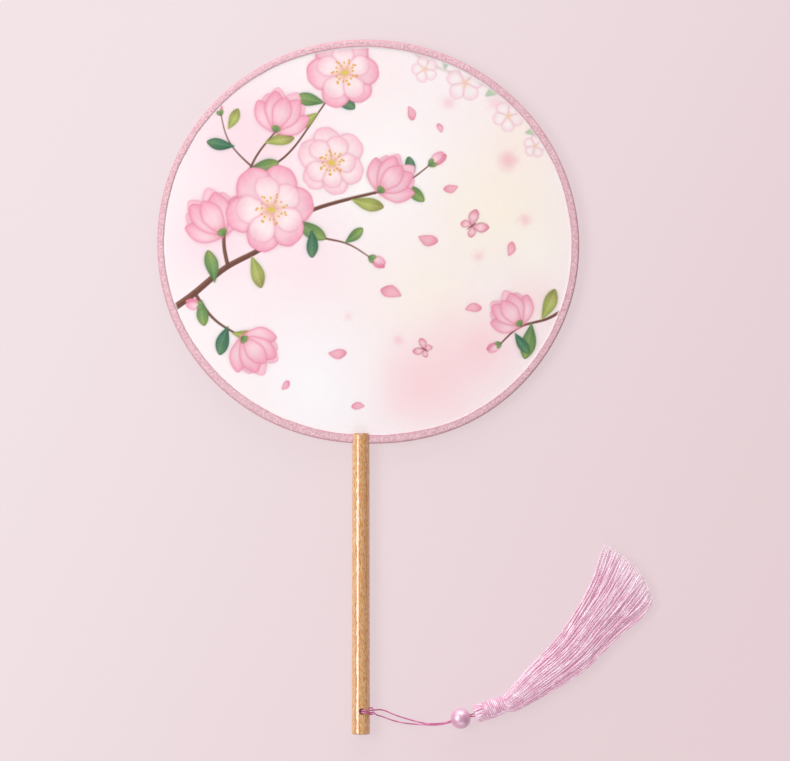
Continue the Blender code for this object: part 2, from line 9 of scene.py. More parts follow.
import bpy
import numpy as np
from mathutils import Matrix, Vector


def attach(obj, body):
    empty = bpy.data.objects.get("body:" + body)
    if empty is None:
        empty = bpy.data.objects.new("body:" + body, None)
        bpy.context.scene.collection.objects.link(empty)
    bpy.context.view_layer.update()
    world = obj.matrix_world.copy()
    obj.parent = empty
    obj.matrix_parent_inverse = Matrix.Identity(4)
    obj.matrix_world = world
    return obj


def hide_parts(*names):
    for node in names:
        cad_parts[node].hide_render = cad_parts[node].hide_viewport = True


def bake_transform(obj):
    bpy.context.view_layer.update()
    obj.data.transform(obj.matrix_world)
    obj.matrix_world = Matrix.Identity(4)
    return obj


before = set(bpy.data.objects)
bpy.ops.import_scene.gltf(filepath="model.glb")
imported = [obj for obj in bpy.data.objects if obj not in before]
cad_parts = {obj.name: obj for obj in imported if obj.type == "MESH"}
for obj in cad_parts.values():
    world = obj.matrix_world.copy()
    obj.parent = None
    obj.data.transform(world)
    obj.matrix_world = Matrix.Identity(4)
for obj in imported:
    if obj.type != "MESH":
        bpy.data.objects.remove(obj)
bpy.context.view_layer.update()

MM = 0.001

# Head
HEAD_X = 0.0
HEAD_Y = 0.08632
MID_HEIGHT = 0.0055
CLOTH_HEIGHT = 0.0014
RIM_STEPS = 120
RIM_HARMONICS = 24
CLOTH_HIDDEN = 0.0011
FRONT_STEP = 0.0004
BACK_STEP = 0.0009

# Tape: its folded section as (inset from its outer face, height over the middle), from the fold
TAPE_HEIGHT = 0.00205
TAPE_FOLD = (
    (0.0, 0.0),
    (0.00002, 0.00075),
    (0.00012, 0.00125),
    (0.00034, 0.00165),
    (0.00070, 0.00192),
    (0.00115, 0.00203),
    (0.0017, TAPE_HEIGHT),
)
# Then shares of the way on to the cut edge, and at that edge (what is left of the lap, height)
TAPE_FLAT = (0.2, 0.4, 0.6, 0.75, 0.87)
TAPE_EDGE = ((0.00016, 0.00203), (0.00004, 0.00194), (0.0, 0.00176), (0.0, 0.00141))
TAPE_STEPS = 960
HEAD_REACH = 0.12
LAP_WANDER = 0.00018
CREASE_HEIGHT = 0.00007

# Cord
CORD_DIAMETER = 0.0009
CORD_PITCH = 0.0031
CORD_HOLLOW = 0.34
CORD_STEP = 0.0003
HITCH_POINTS = (
    (0.00455, -0.19390, 0.00485),
    (0.00355, -0.19392, 0.00585),
    (0.00255, -0.19395, 0.00688),
    (0.00170, -0.19392, 0.00772),
    (0.00084, -0.19388, 0.00858),
    (-0.00012, -0.19384, 0.00978),
    (-0.00125, -0.19382, 0.01081),
    (-0.00203, -0.19381, 0.01104),
    (-0.00285, -0.19380, 0.01091),
    (-0.00354, -0.19380, 0.01044),
    (-0.00399, -0.19380, 0.00975),
    (-0.00408, -0.19380, 0.00890),
    (-0.00400, -0.19380, 0.00580),
    (-0.00385, -0.19375, 0.00250),
    (-0.00347, -0.19360, 0.00135),
    (-0.00273, -0.19340, 0.00070),
    (-0.00180, -0.19315, 0.00050),
    (-0.00090, -0.19295, 0.00070),
    (0.00005, -0.19280, 0.00140),
    (0.00090, -0.19272, 0.00250),
    (0.00147, -0.19270, 0.00400),
    (0.00185, -0.19270, 0.00520),
    (0.00240, -0.19275, 0.00630),
    (0.00285, -0.19295, 0.00715),
    (0.00315, -0.19365, 0.00785),
    (0.00325, -0.19460, 0.00806),
    (0.00315, -0.19555, 0.00785),
    (0.00285, -0.19625, 0.00715),
    (0.00240, -0.19645, 0.00630),
    (0.00185, -0.19650, 0.00520),
    (0.00147, -0.19650, 0.00400),
    (0.00090, -0.19645, 0.00250),
    (0.00005, -0.19630, 0.00140),
    (-0.00090, -0.19605, 0.00069),
    (-0.00180, -0.19575, 0.00050),
    (-0.00273, -0.19540, 0.00070),
    (-0.00347, -0.19515, 0.00135),
    (-0.00385, -0.19500, 0.00250),
    (-0.00400, -0.19500, 0.00580),
    (-0.00408, -0.19500, 0.00890),
    (-0.00399, -0.19500, 0.00975),
    (-0.00354, -0.19502, 0.01044),
    (-0.00285, -0.19504, 0.01091),
    (-0.00203, -0.19508, 0.01104),
    (-0.00125, -0.19512, 0.01081),
    (-0.00012, -0.19518, 0.00978),
    (0.00084, -0.19522, 0.00858),
    (0.00170, -0.19525, 0.00772),
    (0.00255, -0.19530, 0.00688),
    (0.00355, -0.19570, 0.00585),
    (0.00450, -0.19645, 0.00485),
)
LOOP_POINTS = (
    (0.00495, -0.19390, 0.00445),
    (0.00730, -0.19400, 0.00270),
    (0.00950, -0.19450, 0.00150),
    (0.01320, -0.19610, 0.00075),
    (0.01740, -0.19780, 0.00052),
    (0.02170, -0.19920, 0.00050),
    (0.02600, -0.20045, 0.00050),
    (0.03060, -0.20165, 0.00075),
    (0.03400, -0.20225, 0.00150),
    (0.03750, -0.20240, 0.00284),
    (0.04130, -0.20220, 0.00430),
    (0.04530, -0.20158, 0.00541),
    (0.04948, -0.20045, 0.00561),
    (0.05522, -0.19870, 0.00561),
    (0.06096, -0.19690, 0.00565),
    (0.06343, -0.19612, 0.00575),
    (0.06528, -0.19500, 0.00580),
    (0.06685, -0.19366, 0.00580),
    (0.06821, -0.19369, 0.00580),
    (0.06924, -0.19468, 0.00580),
    (0.06929, -0.19610, 0.00580),
    (0.06833, -0.19716, 0.00580),
    (0.06614, -0.19750, 0.00600),
    (0.06392, -0.19758, 0.00640),
    (0.06132, -0.19770, 0.00665),
    (0.05558, -0.19930, 0.00669),
    (0.04984, -0.20105, 0.00669),
    (0.04540, -0.20217, 0.00655),
    (0.04130, -0.20280, 0.00560),
    (0.03750, -0.20303, 0.00410),
    (0.03400, -0.20298, 0.00270),
    (0.02970, -0.20288, 0.00145),
    (0.02470, -0.20255, 0.00065),
    (0.01980, -0.20185, 0.00052),
    (0.01500, -0.20065, 0.00075),
    (0.01070, -0.19910, 0.00150),
    (0.00770, -0.19785, 0.00270),
    (0.00488, -0.19680, 0.00445),
)

# Pearl
BEAD_PLACE = (0.0554, -0.1990, 0.00615)
BEAD_TURN = math.radians(17)
BEAD_RADIUS = 0.0061
BORE_RADIUS = 0.00145
BORE_EDGE = 0.0001
BORE_LIP = 0.00002
BEAD_SIDES = 96
BEAD_ROWS = 56

# Tassel: its straight head and neck, then the free skirt between two edges
TASSEL_START = (0.0646, -0.1966, 0.0056)
TASSEL_TURN = math.radians(22)
HEAD_LENGTH = 0.0056
HEAD_PROFILE = (
    (0.0012, 0.0024),
    (0.0003, 0.0031),
    (0.0000, 0.0040),
    (0.0006, 0.0047),
    (0.0020, 0.0049),
    (0.0036, 0.0048),
    (0.0048, 0.0045),
    (0.0058, 0.0038),
    (0.0070, 0.0034),
)
HEAD_THREADS = 36
HEAD_THREAD = 0.00112
HEAD_ROWS = 30
NECK_LENGTH = 0.0132
WRAP_THREAD = 0.00115
WRAP_TURNS = 11
WRAP_STEPS = 40
WRAP_RADII = (0.00462, 0.00425)
WRAP_MARGIN = 0.0006
WRAP_SLACK = 0.00008
TAIL_THREAD = 0.00104
TAIL_ANGLES = (-58, -70, -82, -64, -76)
TAIL_RADIUS = 0.0053
TAIL_SPREAD = 0.0003
TAIL_REACH = (0.0030, HEAD_LENGTH + NECK_LENGTH + 0.0012)
TAIL_ROWS = 60
SKIRT_THREADS = 300
SKIRT_THREAD = 0.00098
SKIRT_BULGE = 0.0045
SKIRT_RINGS = 112
SKIRT_CLUMPS = 13
CLUMP_PULL = 0.45
SKIRT_EDGE = 1.02
# How much the threads' lengths and places differ
SKIRT_UNEVEN = 0.016
SKIRT_DRIFT = 0.09
SKIRT_RISE = 0.03
# Waves along a thread: how many, and how high
SKIRT_WAVES = ((0.9, 0.045), (2.1, 0.022), (4.6, 0.008))
# Shares of the length, with the skirt's half height there, and with the thread's thickness
SKIRT_HALF_HEIGHTS = ((0, 0.035, 0.1, 1), (0.0031, 0.0046, 0.0046, 0.0030))
SKIRT_THREAD_SHARES = ((0, 0.25, 0.97, 1), (0.72, 1.0, 1.0, 0.35))
SKIRT_END_MIDDLE = 0.0036
SKIRT_CLEARANCE = 0.0006
SKIRT_UPPER = (
    (0.0789, -0.1875),
    (0.0824, -0.1841),
    (0.0963, -0.1684),
    (0.1124, -0.1523),
    (0.1252, -0.1341),
    (0.1349, -0.1159),
    (0.1413, -0.0980),
    (0.1428, -0.0945),
)
SKIRT_LOWER = (
    (0.0813, -0.1935),
    (0.0834, -0.1946),
    (0.0941, -0.1919),
    (0.1102, -0.1823),
    (0.1318, -0.1679),
    (0.1501, -0.1496),
    (0.1664, -0.1351),
    (0.1720, -0.1275),
)

# Colours of the materials, as a screen shows them
TAPE_DARK = (212, 160, 171)
TAPE_PALE = (245, 210, 216)
TAPE_PATCH = (224, 180, 192)
# Deeper pink: painted shade along the tape's rounded fold, and the darker band along its cut edge
TAPE_DEEP = (204, 136, 151)
BEECH_PALE = (241, 190, 124)
BEECH_DEEP = (221, 154, 88)
BEECH_GRAIN = (212, 142, 80)
# Rays: pale flecks that also serve as a painted broken highlight. End: darker end grain, also
# painted shade on the chamfered ends.
BEECH_RAY_AND_GLINT = (255, 232, 200)
BEECH_FLECK = (182, 108, 56)
BEECH_END_GRAIN_AND_SHADE = (128, 82, 44)
BAMBOO_PALE = (226, 200, 150)
BAMBOO_DARK = (196, 162, 108)
PEARL_DEEP = (222, 130, 178)
PEARL_PALE = (234, 154, 194)
PEARL_RIM = (252, 216, 232)
# Threads: pale, body and dark. Pale is painted glints, and on the silk also its paler tips; dark is
# painted shade in the grooves between the plies. The head's threads are the skirt's own but take the
# wrap's colours, whose deeper dark is more painted shade.
CORD_COLOURS = ((230, 150, 192), (204, 100, 150), (150, 52, 104))
SILK_COLOURS = ((255, 243, 249), (240, 197, 217), (214, 132, 172))
WRAP_COLOURS = ((255, 246, 251), (242, 198, 220), (204, 110, 156))

# Finishes: the lacquer is smooth above this part of the handle, the tips are in millimetres
SMOOTH_FROM = (-0.072, -0.048)
# A painted glow: the threads give off their body colour, to lift their shade as light through the
# silk would
THREAD_PAINTED_GLOW = 0.2
FIBRES = 13
SKIRT_TIPS = 100
TIP_FADE = 14
SHARP_ANGLE = math.radians(35)

# Numbers that spread things evenly
GOLDEN_SHARE = 0.61803
GOLDEN_ANGLE = 2.39996
# The turn that a thread's flat ends are coloured by, and how upright a steep route is
CAP_TURN = 0.25
STEEP = 0.9

# Petals and leaves of the print
PETAL_SHADE = 0.22
RUFFLE = 0.05
PETAL_FULLNESS = 1.35
PETAL_ROUNDNESS = 0.72
NOTCH_WIDTH = 0.35
OUTSIDE = -9.0
RIM_COVER = 0.85
VEIN_LIGHT = 2.2
CLOUD_LIGHT = 4
PETAL_SIDE_LIGHT = 3
LEAF_VEINS = 7
LEAF_VEIN_LIGHT = 7
LEAF_HALF_SHADE = 13


def screen(colour):
    """A colour as a screen shows it, 0 to 255, turned into the linear values that light uses."""
    values = np.asarray(colour, float) / 255
    return np.where(values <= 0.04045, values / 12.92, ((values + 0.055) / 1.055) ** 2.4)


def paint(colour):
    """The same with alpha, for a node's socket."""
    return (*screen(colour), 1)


def smooth_route(points, step):
    """Evenly spaced points on a natural cubic curve through the given ones."""
    knots = np.array(points, float)
    gaps = np.linalg.norm(np.diff(knots, axis=0), axis=1)
    at = np.concatenate([[0.0], np.cumsum(gaps)])
    count = len(knots)
    system = np.eye(count)
    right = np.zeros_like(knots)
    for i in range(1, count - 1):
        system[i, i - 1 : i + 2] = gaps[i - 1], 2 * (gaps[i - 1] + gaps[i]), gaps[i]
        rise = (knots[i + 1] - knots[i]) / gaps[i] - (knots[i] - knots[i - 1]) / gaps[i - 1]
        right[i] = 6 * rise
    bend = np.linalg.solve(system, right)
    fine_at = np.linspace(0, at[-1], 60 * count)
    piece = np.clip(np.searchsorted(at, fine_at) - 1, 0, count - 2)
    before = (fine_at - at[piece])[:, None]
    after = (at[piece + 1] - fine_at)[:, None]
    width = gaps[piece][:, None]
    start_bend, end_bend = bend[piece], bend[piece + 1]
    fine = (
        (start_bend * after**3 + end_bend * before**3) / (6 * width)
        + (knots[piece] / width - start_bend * width / 6) * after
        + (knots[piece + 1] / width - end_bend * width / 6) * before
    )
    travelled = np.concatenate([[0.0], np.cumsum(np.linalg.norm(np.diff(fine, axis=0), axis=1))])
    wanted = np.linspace(0, travelled[-1], max(2, round(travelled[-1] / step)) + 1)
    columns = [np.interp(wanted, travelled, fine[:, i]) for i in range(knots.shape[1])]
    return np.column_stack(columns)


def smoothstep(low, high, value):
    """0 below low, 1 above high, and a smooth rise between them."""
    t = np.clip((value - low) / (high - low), 0, 1)
    return t * t * (3 - 2 * t)


def lattice_noise(places, size, seed):
    """Smooth noise from -1 to 1 over rows of 2 or 3 numbers, with bumps of about that size."""
    scaled = np.asarray(places, float) / size + 1000
    cell = np.floor(scaled).astype(np.int64)
    part = scaled - cell
    part = part * part * (3 - 2 * part)
    total = np.zeros(len(scaled))
    axes = scaled.shape[1]
    for corner in range(2**axes):
        mix = np.full(len(scaled), seed * 7919, np.int64)
        weight = np.ones(len(scaled))
        for axis in range(axes):
            high = corner >> axis & 1
            mix = (mix * 31337 + cell[:, axis] + high) & 0x7FFFFFFF
            mix = (mix ^ (mix >> 13)) * 1274126177 & 0x7FFFFFFF
            weight = weight * (part[:, axis] if high else 1 - part[:, axis])
        total += weight * ((mix >> 7 & 0xFFFF) / 32767.5 - 1)
    return total


def mesh_object(name, points, quads):
    """A smooth mesh object from arrays of its points and its faces' corners."""
    mesh = bpy.data.meshes.new(name)
    sides = quads.shape[1]
    mesh.vertices.add(len(points))
    mesh.vertices.foreach_set("co", np.ascontiguousarray(points, np.float32).ravel())
    mesh.loops.add(quads.size)
    mesh.loops.foreach_set("vertex_index", np.ascontiguousarray(quads, np.int32).ravel())
    mesh.polygons.add(len(quads))
    mesh.polygons.foreach_set("loop_start", np.arange(0, quads.size, sides, dtype=np.int32))
    mesh.update(calc_edges=True)
    mesh.shade_smooth()
    made = bpy.data.objects.new(name, mesh)
    bpy.context.collection.objects.link(made)
    return made


def attribute(made, name, kind, domain, values):
    """Adds an attribute with its values to a mesh object."""
    field = "vector" if kind == "FLOAT_VECTOR" else "color" if "COLOR" in kind else "value"
    added = made.data.attributes.new(name, kind, domain)
    added.data.foreach_set(field, np.ascontiguousarray(values, np.float32).ravel())


def carried_sides(routes):
    """Two directions square to each route at its points, carried along without turning."""
    ahead = np.gradient(routes, axis=1)
    ahead /= np.linalg.norm(ahead, axis=2, keepdims=True)
    flat = np.abs(ahead[:, 0, 2:3]) < STEEP
    side = np.cross(np.where(flat, (0.0, 0.0, 1.0), (1.0, 0.0, 0.0)), ahead[:, 0])
    sides = []
    for i in range(routes.shape[1]):
        side = side - ahead[:, i] * np.sum(side * ahead[:, i], axis=1, keepdims=True)
        side = side / np.linalg.norm(side, axis=1, keepdims=True)
        sides.append(side)
    sides = np.stack(sides, axis=1)
    return sides, np.cross(ahead, sides)


def tube_points(routes, along, radii, sides, plies, hollow, pitch):
    """Rings of points round each route, hollowed between its plies and turned by their twist."""
    side, up = carried_sides(routes)
    turn = 2 * np.pi * np.arange(sides) / sides
    lobes = 1 - hollow * (1 - np.abs(np.cos(plies * turn / 2)))
    angle = (2 * np.pi * along / pitch)[..., None] + turn
    out = (np.broadcast_to(radii, along.shape)[..., None] * lobes)[..., None]
    return routes[:, :, None] + out * (
        np.cos(angle)[..., None] * side[:, :, None] + np.sin(angle)[..., None] * up[:, :, None]
    )


def tube_values(along, sides, number):
    """The "strand" values at the corners of each tube's side faces."""
    tubes, rings = along.shape
    values = np.empty((tubes, rings - 1, sides, 4, 3))
    for i, (ring, column) in enumerate(((0, 0), (0, 1), (1, 1), (1, 0))):
        values[..., i, 0] = along[:, ring : rings - 1 + ring, None] / MM
        values[..., i, 1] = (np.arange(sides) + column) / sides
        values[..., i, 2] = number
    return values.reshape(-1, 4, 3)


def tube_caps(index, along, number):
    """The quads that close both ends of each tube, and their "strand" values."""
    tubes, _, sides = index.shape
    first = np.arange(1, sides - 2, 2)
    quads, values = [], []
    for ring, way in ((0, (0, 3, 2, 1)), (-1, (0, 1, 2, 3))):
        fan = np.stack([0 * first, first, first + 1, first + 2], axis=-1)[:, way]
        quads.append(index[:, ring][:, fan].reshape(-1, 4))
        end = np.broadcast_to(along[:, ring, None, None], (tubes, len(first), 4)) / MM
        cap = np.stack([end, CAP_TURN + 0 * end, np.broadcast_to(number, end.shape)], axis=-1)
        values.append(cap.reshape(-1, 4, 3))
    return quads, values


def strands(name, routes, radii, sides, plies, hollow, pitch, start=0.0):
    """One mesh of closed tubes along equal rows of route points, each twisted from some plies.

    Sides is even. The attribute "strand" holds the length along in millimetres, the turn around
    and a number for each tube.
    """
    tubes, rings = routes.shape[:2]
    steps = np.linalg.norm(np.diff(routes, axis=1), axis=2)
    along = start + np.concatenate([np.zeros((tubes, 1)), np.cumsum(steps, axis=1)], axis=1)
    points = tube_points(routes, along, radii, sides, plies, hollow, pitch)
    index = np.arange(tubes * rings * sides).reshape(tubes, rings, sides)
    near, far = index[:, :-1], index[:, 1:]
    corners = (near, np.roll(near, -1, 2), np.roll(far, -1, 2), far)
    number = np.arange(tubes).reshape(-1, 1, 1) * GOLDEN_SHARE % 1
    cap_quads, cap_values = tube_caps(index, along, number)
    quads = np.concatenate([np.stack(corners, axis=-1).reshape(-1, 4), *cap_quads])
    values = np.concatenate([tube_values(along, sides, number), *cap_values])
    made = mesh_object(name, points.reshape(-1, 3), quads)
    attribute(made, "strand", "FLOAT_VECTOR", "CORNER", values)
    return made


def dress(made, material, node):
    """Gives a piece its material, and puts it in the place of a CAD node, which it hides."""
    made.data.materials.append(material)
    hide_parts(node)


class Shader:
    """Short calls to build a material's nodes."""

    def __init__(self, name):
        self.material = bpy.data.materials.new(name)
        self.material.use_nodes = True
        self.tree = self.material.node_tree
        self.surface = self.tree.nodes["Principled BSDF"]
        self.output = self.tree.nodes["Material Output"]

    def node(self, kind, *inputs, **settings):
        """A node with its inputs, in order, linked or set. None leaves an input alone."""
        made = self.tree.nodes.new("ShaderNode" + kind)
        for key, value in settings.items():
            setattr(made, key, value)
        for socket, value in zip(made.inputs, inputs):
            self.feed(socket, value)
        return made

    def feed(self, socket, value):
        """Links or sets one input."""
        if isinstance(value, bpy.types.NodeSocket):
            self.tree.links.new(value, socket)
        elif value is not None:
            socket.default_value = value

    def math(self, operation, *inputs):
        """A number from a sum."""
        return self.node("Math", *inputs, operation=operation).outputs[0]

    def spread(self, value, low, high, new_low=0.0, new_high=1.0):
        """A number moved from one range to another, kept inside the new one."""
        return self.node("MapRange", value, low, high, new_low, new_high).outputs[0]

    def blend(self, share, first, second, how="MIX"):
        """A colour between two."""
        made = self.node("Mix", data_type="RGBA", blend_type=how, clamp_factor=True)
        for i, value in ((0, share), (6, first), (7, second)):
            self.feed(made.inputs[i], value)
        return made.outputs[2]

    def attribute(self, name):
        """An attribute node of the mesh."""
        return self.node("Attribute", attribute_name=name)

    def place(self, scale):
        """The place on the object in metres, times a scale for each axis."""
        coordinates = self.node("TexCoord").outputs["Object"]
        return self.node("VectorMath", coordinates, scale, operation="MULTIPLY").outputs[0]

    def noise(self, vector, scale, detail=2.0, roughness=0.5):
        """A noise value from 0 to 1."""
        made = self.node("TexNoise", noise_dimensions="3D")
        for name, value in (("Vector", vector), ("Scale", scale), ("Detail", detail)):
            self.feed(made.inputs[name], value)
        made.inputs["Roughness"].default_value = roughness
        return made.outputs[0]

    def bump(self, height, distance, strength):
        """A normal from a height, which is 1 for the given distance."""
        made = self.node("Bump")
        made.inputs["Strength"].default_value = strength
        made.inputs["Distance"].default_value = distance
        self.feed(made.inputs["Height"], height)
        return made.outputs[0]

    def finish(self, **inputs):
        """Feeds the Principled shader, with underscores for the spaces in its sockets' names."""
        for name, value in inputs.items():
            self.feed(self.surface.inputs[name.replace("_", " ")], value)
        return self.material


def cad_points(node):
    """The corners of a CAD node's mesh."""
    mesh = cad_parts[node].data
    flat = np.empty(len(mesh.vertices) * 3)
    mesh.vertices.foreach_get("co", flat)
    return flat.reshape(-1, 3)


def closed_curve(values):
    """A function of the angle through equally spaced values of one full turn."""
    waves = np.fft.rfft(values)[: RIM_HARMONICS + 1] / len(values)

    def at(angle):
        total = np.full(np.shape(angle), waves[0].real)
        for i in range(1, len(waves)):
            part = waves[i].real * np.cos(i * angle) - waves[i].imag * np.sin(i * angle)
            total = total + 2 * part
        return total

    return at


def read_rim():
    """The bound rim's outer radius and its tape's inner radius, as functions of the angle."""
    points = cad_points("edge_binding")
    x, y = points[:, 0] - HEAD_X, points[:, 1] - HEAD_Y
    radius = np.hypot(x, y)
    slot = np.round(np.arctan2(y, x) / (2 * np.pi) * RIM_STEPS).astype(int) % RIM_STEPS
    outer = [radius[slot == i].max() for i in range(RIM_STEPS)]
    inner = [radius[slot == i].min() for i in range(RIM_STEPS)]
    return closed_curve(outer), closed_curve(inner)


OUTER_RADIUS, INNER_RADIUS = read_rim()


def petal_places(away, turn, length, width, bend, notch):
    """Where points lie on a petal: 0 to 1 from base to tip, and -1 to 1 across its full width."""
    angle = math.radians(turn)
    u = (away[:, 0] * math.cos(angle) + away[:, 1] * math.sin(angle)) / length
    v = (away[:, 1] * math.cos(angle) - away[:, 0] * math.sin(angle)) / (width / 2)
    v = v - bend * u * u
    u = u + notch * np.exp(-((v / NOTCH_WIDTH) ** 2)) * smoothstep(0.6, 1.0, u)
    return u, v


def petal_light(places, u, across, length, ribs):
    """How much lighter points on a petal are than its inks, by its veins, or by a leaf's."""
    veins = np.sin(across * 9 + 2.5 * np.sin(u * 3)) * (0.25 + 0.75 * u) * VEIN_LIGHT
    cloud = lattice_noise(places, 0.28 * length, 5) * CLOUD_LIGHT
    side_veins = np.sin((u * LEAF_VEINS - np.abs(across) * 1.1) * 2 * np.pi)
    lines = LEAF_VEIN_LIGHT * smoothstep(0.55, 1.0, side_veins)
    leafy = ribs * (lines - LEAF_HALF_SHADE * smoothstep(-0.06, 0.06, across))
    return veins * (1 - ribs) + cloud + across * PETAL_SIDE_LIGHT * (1 - ribs) + leafy


def petal_colour(places, u, v, edge, margin, length, inks, ribs):
    """The colour at points on a petal or leaf, with a line of its rim's ink along the edge."""
    base_ink, middle_ink, tip_ink, rim_ink = (np.array(ink, float) for ink in inks)
    rise = smoothstep(0.0, 0.55, u)[:, None]
    tip = smoothstep(0.5, 1.0, u)[:, None]
    colour = base_ink * (1 - rise) + middle_ink * rise
    colour = colour * (1 - tip) + tip_ink * tip
    lit = petal_light(places, u, v / np.maximum(edge, 0.05), length, ribs)[:, None]
    rim = (RIM_COVER * np.exp(-np.maximum(margin, 0) / (0.045 * length + 0.1)))[:, None]
    return np.clip((colour + lit) * (1 - rim) + rim_ink * rim, 0, 255)


def rim_shade(ink):
    """The soft shade that a petal or leaf throws on what it lies over."""
    return 0.86 * np.asarray(ink, float)


class Print:
    """Colours drawn on points, in millimetres from the middle of the head."""

    def __init__(self, places, ground):
        self.places = places
        self.colour = np.tile(np.asarray(ground, float), (len(places), 1))

    def near(self, centre, reach):
        """The points within reach of a place, and where they lie from it."""
        away = self.places - centre
        found = np.flatnonzero((away * away).sum(axis=1) < reach * reach)
        return found, away[found]

    def lay(self, found, colour, cover):
        """Lays a colour over some points, by their cover from 0 to 1."""
        cover = np.clip(cover, 0, 1)[:, None]
        self.colour[found] = self.colour[found] * (1 - cover) + np.asarray(colour, float) * cover

    def wash(self, centre, reach, colour, cover, seed=1):
        """A soft cloud of colour with uneven edges."""
        found, away = self.near(centre, 2.4 * reach)
        ragged = 1 + 0.22 * lattice_noise(self.places[found], 0.55 * reach, seed)
        far = np.hypot(away[:, 0], away[:, 1]) / (reach * ragged)
        self.lay(found, colour, cover * np.exp(-far * far * 1.6))

    def stroke(self, points, widths, colour, cover=1.0, soft=0.3):
        """A line through points whose width runs evenly between the given ones."""
        route = smooth_route(points, 0.7)
        middle = route.mean(axis=0)
        reach = np.linalg.norm(route - middle, axis=1).max() + max(widths) + 2
        found, _ = self.near(middle, reach)
        if not len(found):
            return
        least = np.full(len(found), np.inf)
        width = np.interp(
            np.linspace(0, 1, len(route)), np.linspace(0, 1, len(widths)), widths
        )
        for place, wide in zip(route, width):
            away = self.places[found] - place
            least = np.minimum(least, np.hypot(away[:, 0], away[:, 1]) - wide / 2)
        self.lay(found, colour, cover * smoothstep(soft, -soft, least))

    def petal(
        self, base, turn, length, width, inks, bend=0.0, notch=0.0, soft=0.3, cover=1.0, ribs=0.0
    ):
        """A petal or leaf from its base: inks are its colours at the base, middle, tip and rim.

        Ribs, from 0 to 1, give it a leaf's side veins and its darker half.
        """
        found, away = self.near(base, 1.25 * length)
        if not len(found):
            return
        u, v = petal_places(away, turn, length, width, bend, notch)
        edge = np.sin(np.pi * np.clip(u, 0.0001, 0.9999) ** PETAL_FULLNESS) ** PETAL_ROUNDNESS
        uneven = lattice_noise(self.places[found] + turn, 0.16 * length, 9)
        edge = edge * (1 + RUFFLE * (1 - ribs) * uneven)
        margin = np.where((u <= 0) | (u >= 1), OUTSIDE, (edge - np.abs(v)) * width / 2)
        under = np.exp(-np.maximum(-margin, 0) / (0.035 * length + 0.2))
        self.lay(found, rim_shade(inks[3]), PETAL_SHADE * cover * under)
        keep = margin > -soft
        found, u, v, margin, edge = found[keep], u[keep], v[keep], margin[keep], edge[keep]
        colour = petal_colour(self.places[found], u, v, edge, margin, length, inks, ribs)
        self.lay(found, colour, cover * smoothstep(-soft, soft, margin))


# The print's inks
GROUND = (253, 241, 243)
PETAL_PALE = ((254, 226, 224), (254, 232, 234), (250, 204, 215), (240, 164, 187))
PETAL_PINK = ((252, 214, 218), (251, 212, 221), (245, 174, 194), (232, 128, 160))
PETAL_DEEP = ((236, 142, 164), (242, 168, 186), (236, 144, 168), (217, 98, 130))
PETAL_FALLEN = ((247, 190, 202), (246, 186, 199), (236, 152, 172), (224, 116, 145))
LEAF_GREEN = ((96, 132, 84), (128, 160, 98), (160, 178, 96), (84, 118, 72))
LEAF_BLUE = ((62, 108, 86), (88, 134, 104), (112, 150, 104), (52, 94, 74))
LEAF_YOUNG = ((168, 178, 92), (186, 192, 110), (160, 150, 92), (134, 144, 76))
TWIG = (104, 62, 50)
TWIG_LIT = (158, 112, 88)
STAMEN = (240, 206, 104)
STAMEN_TIP = (226, 160, 48)
STAMENS = 26
BLOOM_HEART = (226, 150, 150)
BLOOM_EYE = (222, 200, 88)
CUP_GLOW = (226, 120, 146)
SPOT_INK = (243, 168, 184)
WING = ((244, 176, 190), (250, 208, 214), (238, 150, 172), (196, 92, 120))
BUTTERFLY_BODY = (110, 62, 60)
FAR_PETAL = ((255, 240, 236), (255, 246, 246), (253, 218, 227), (243, 178, 199))
FAR_HEART = (240, 206, 150)
FAR_LEAF = ((166, 194, 162), (198, 222, 176), (230, 240, 174), (154, 180, 150))
FAR_TWIG_INK = (196, 176, 160)
# The paler cloth beside the tape: its colour and cover, and its reach in millimetres
BY_TAPE = (255, 251, 252)
BY_TAPE_COVER = 0.85
BY_TAPE_REACH = (1.6, 0.2)

# Washes: x, y, reach, colour, cover
WASHES = (
    (-70, 62, 46, (252, 220, 229), 0.85),
    (-92, 4, 36, (252, 218, 229), 0.7),
    (-40, -10, 40, (253, 228, 235), 0.65),
    (-30, -86, 44, (254, 250, 253), 0.9),
    (12, 40, 44, (255, 252, 250), 0.7),
    (78, 18, 46, (255, 244, 228), 0.9),
    (40, -30, 40, (255, 244, 232), 0.75),
    (92, 62, 30, (255, 238, 226), 0.6),
    (34, -86, 34, (255, 214, 219), 0.8),
    (66, -62, 28, (255, 211, 217), 0.75),
    (98, -36, 24, (255, 222, 221), 0.6),
    (4, 100, 30, (253, 236, 238), 0.6),
    (100, -4, 16, (255, 250, 242), 0.6),
)
# Soft spots out of focus: x, y, reach, cover
SPOTS = (
    (84, 50, 6.5, 0.55),
    (66, -8, 4.0, 0.35),
    (94, 14, 4.5, 0.4),
    (48, 84, 5.0, 0.35),
    (18, -58, 3.6, 0.35),
    (76, 84, 5.2, 0.3),
    (-12, -44, 3.0, 0.25),
)
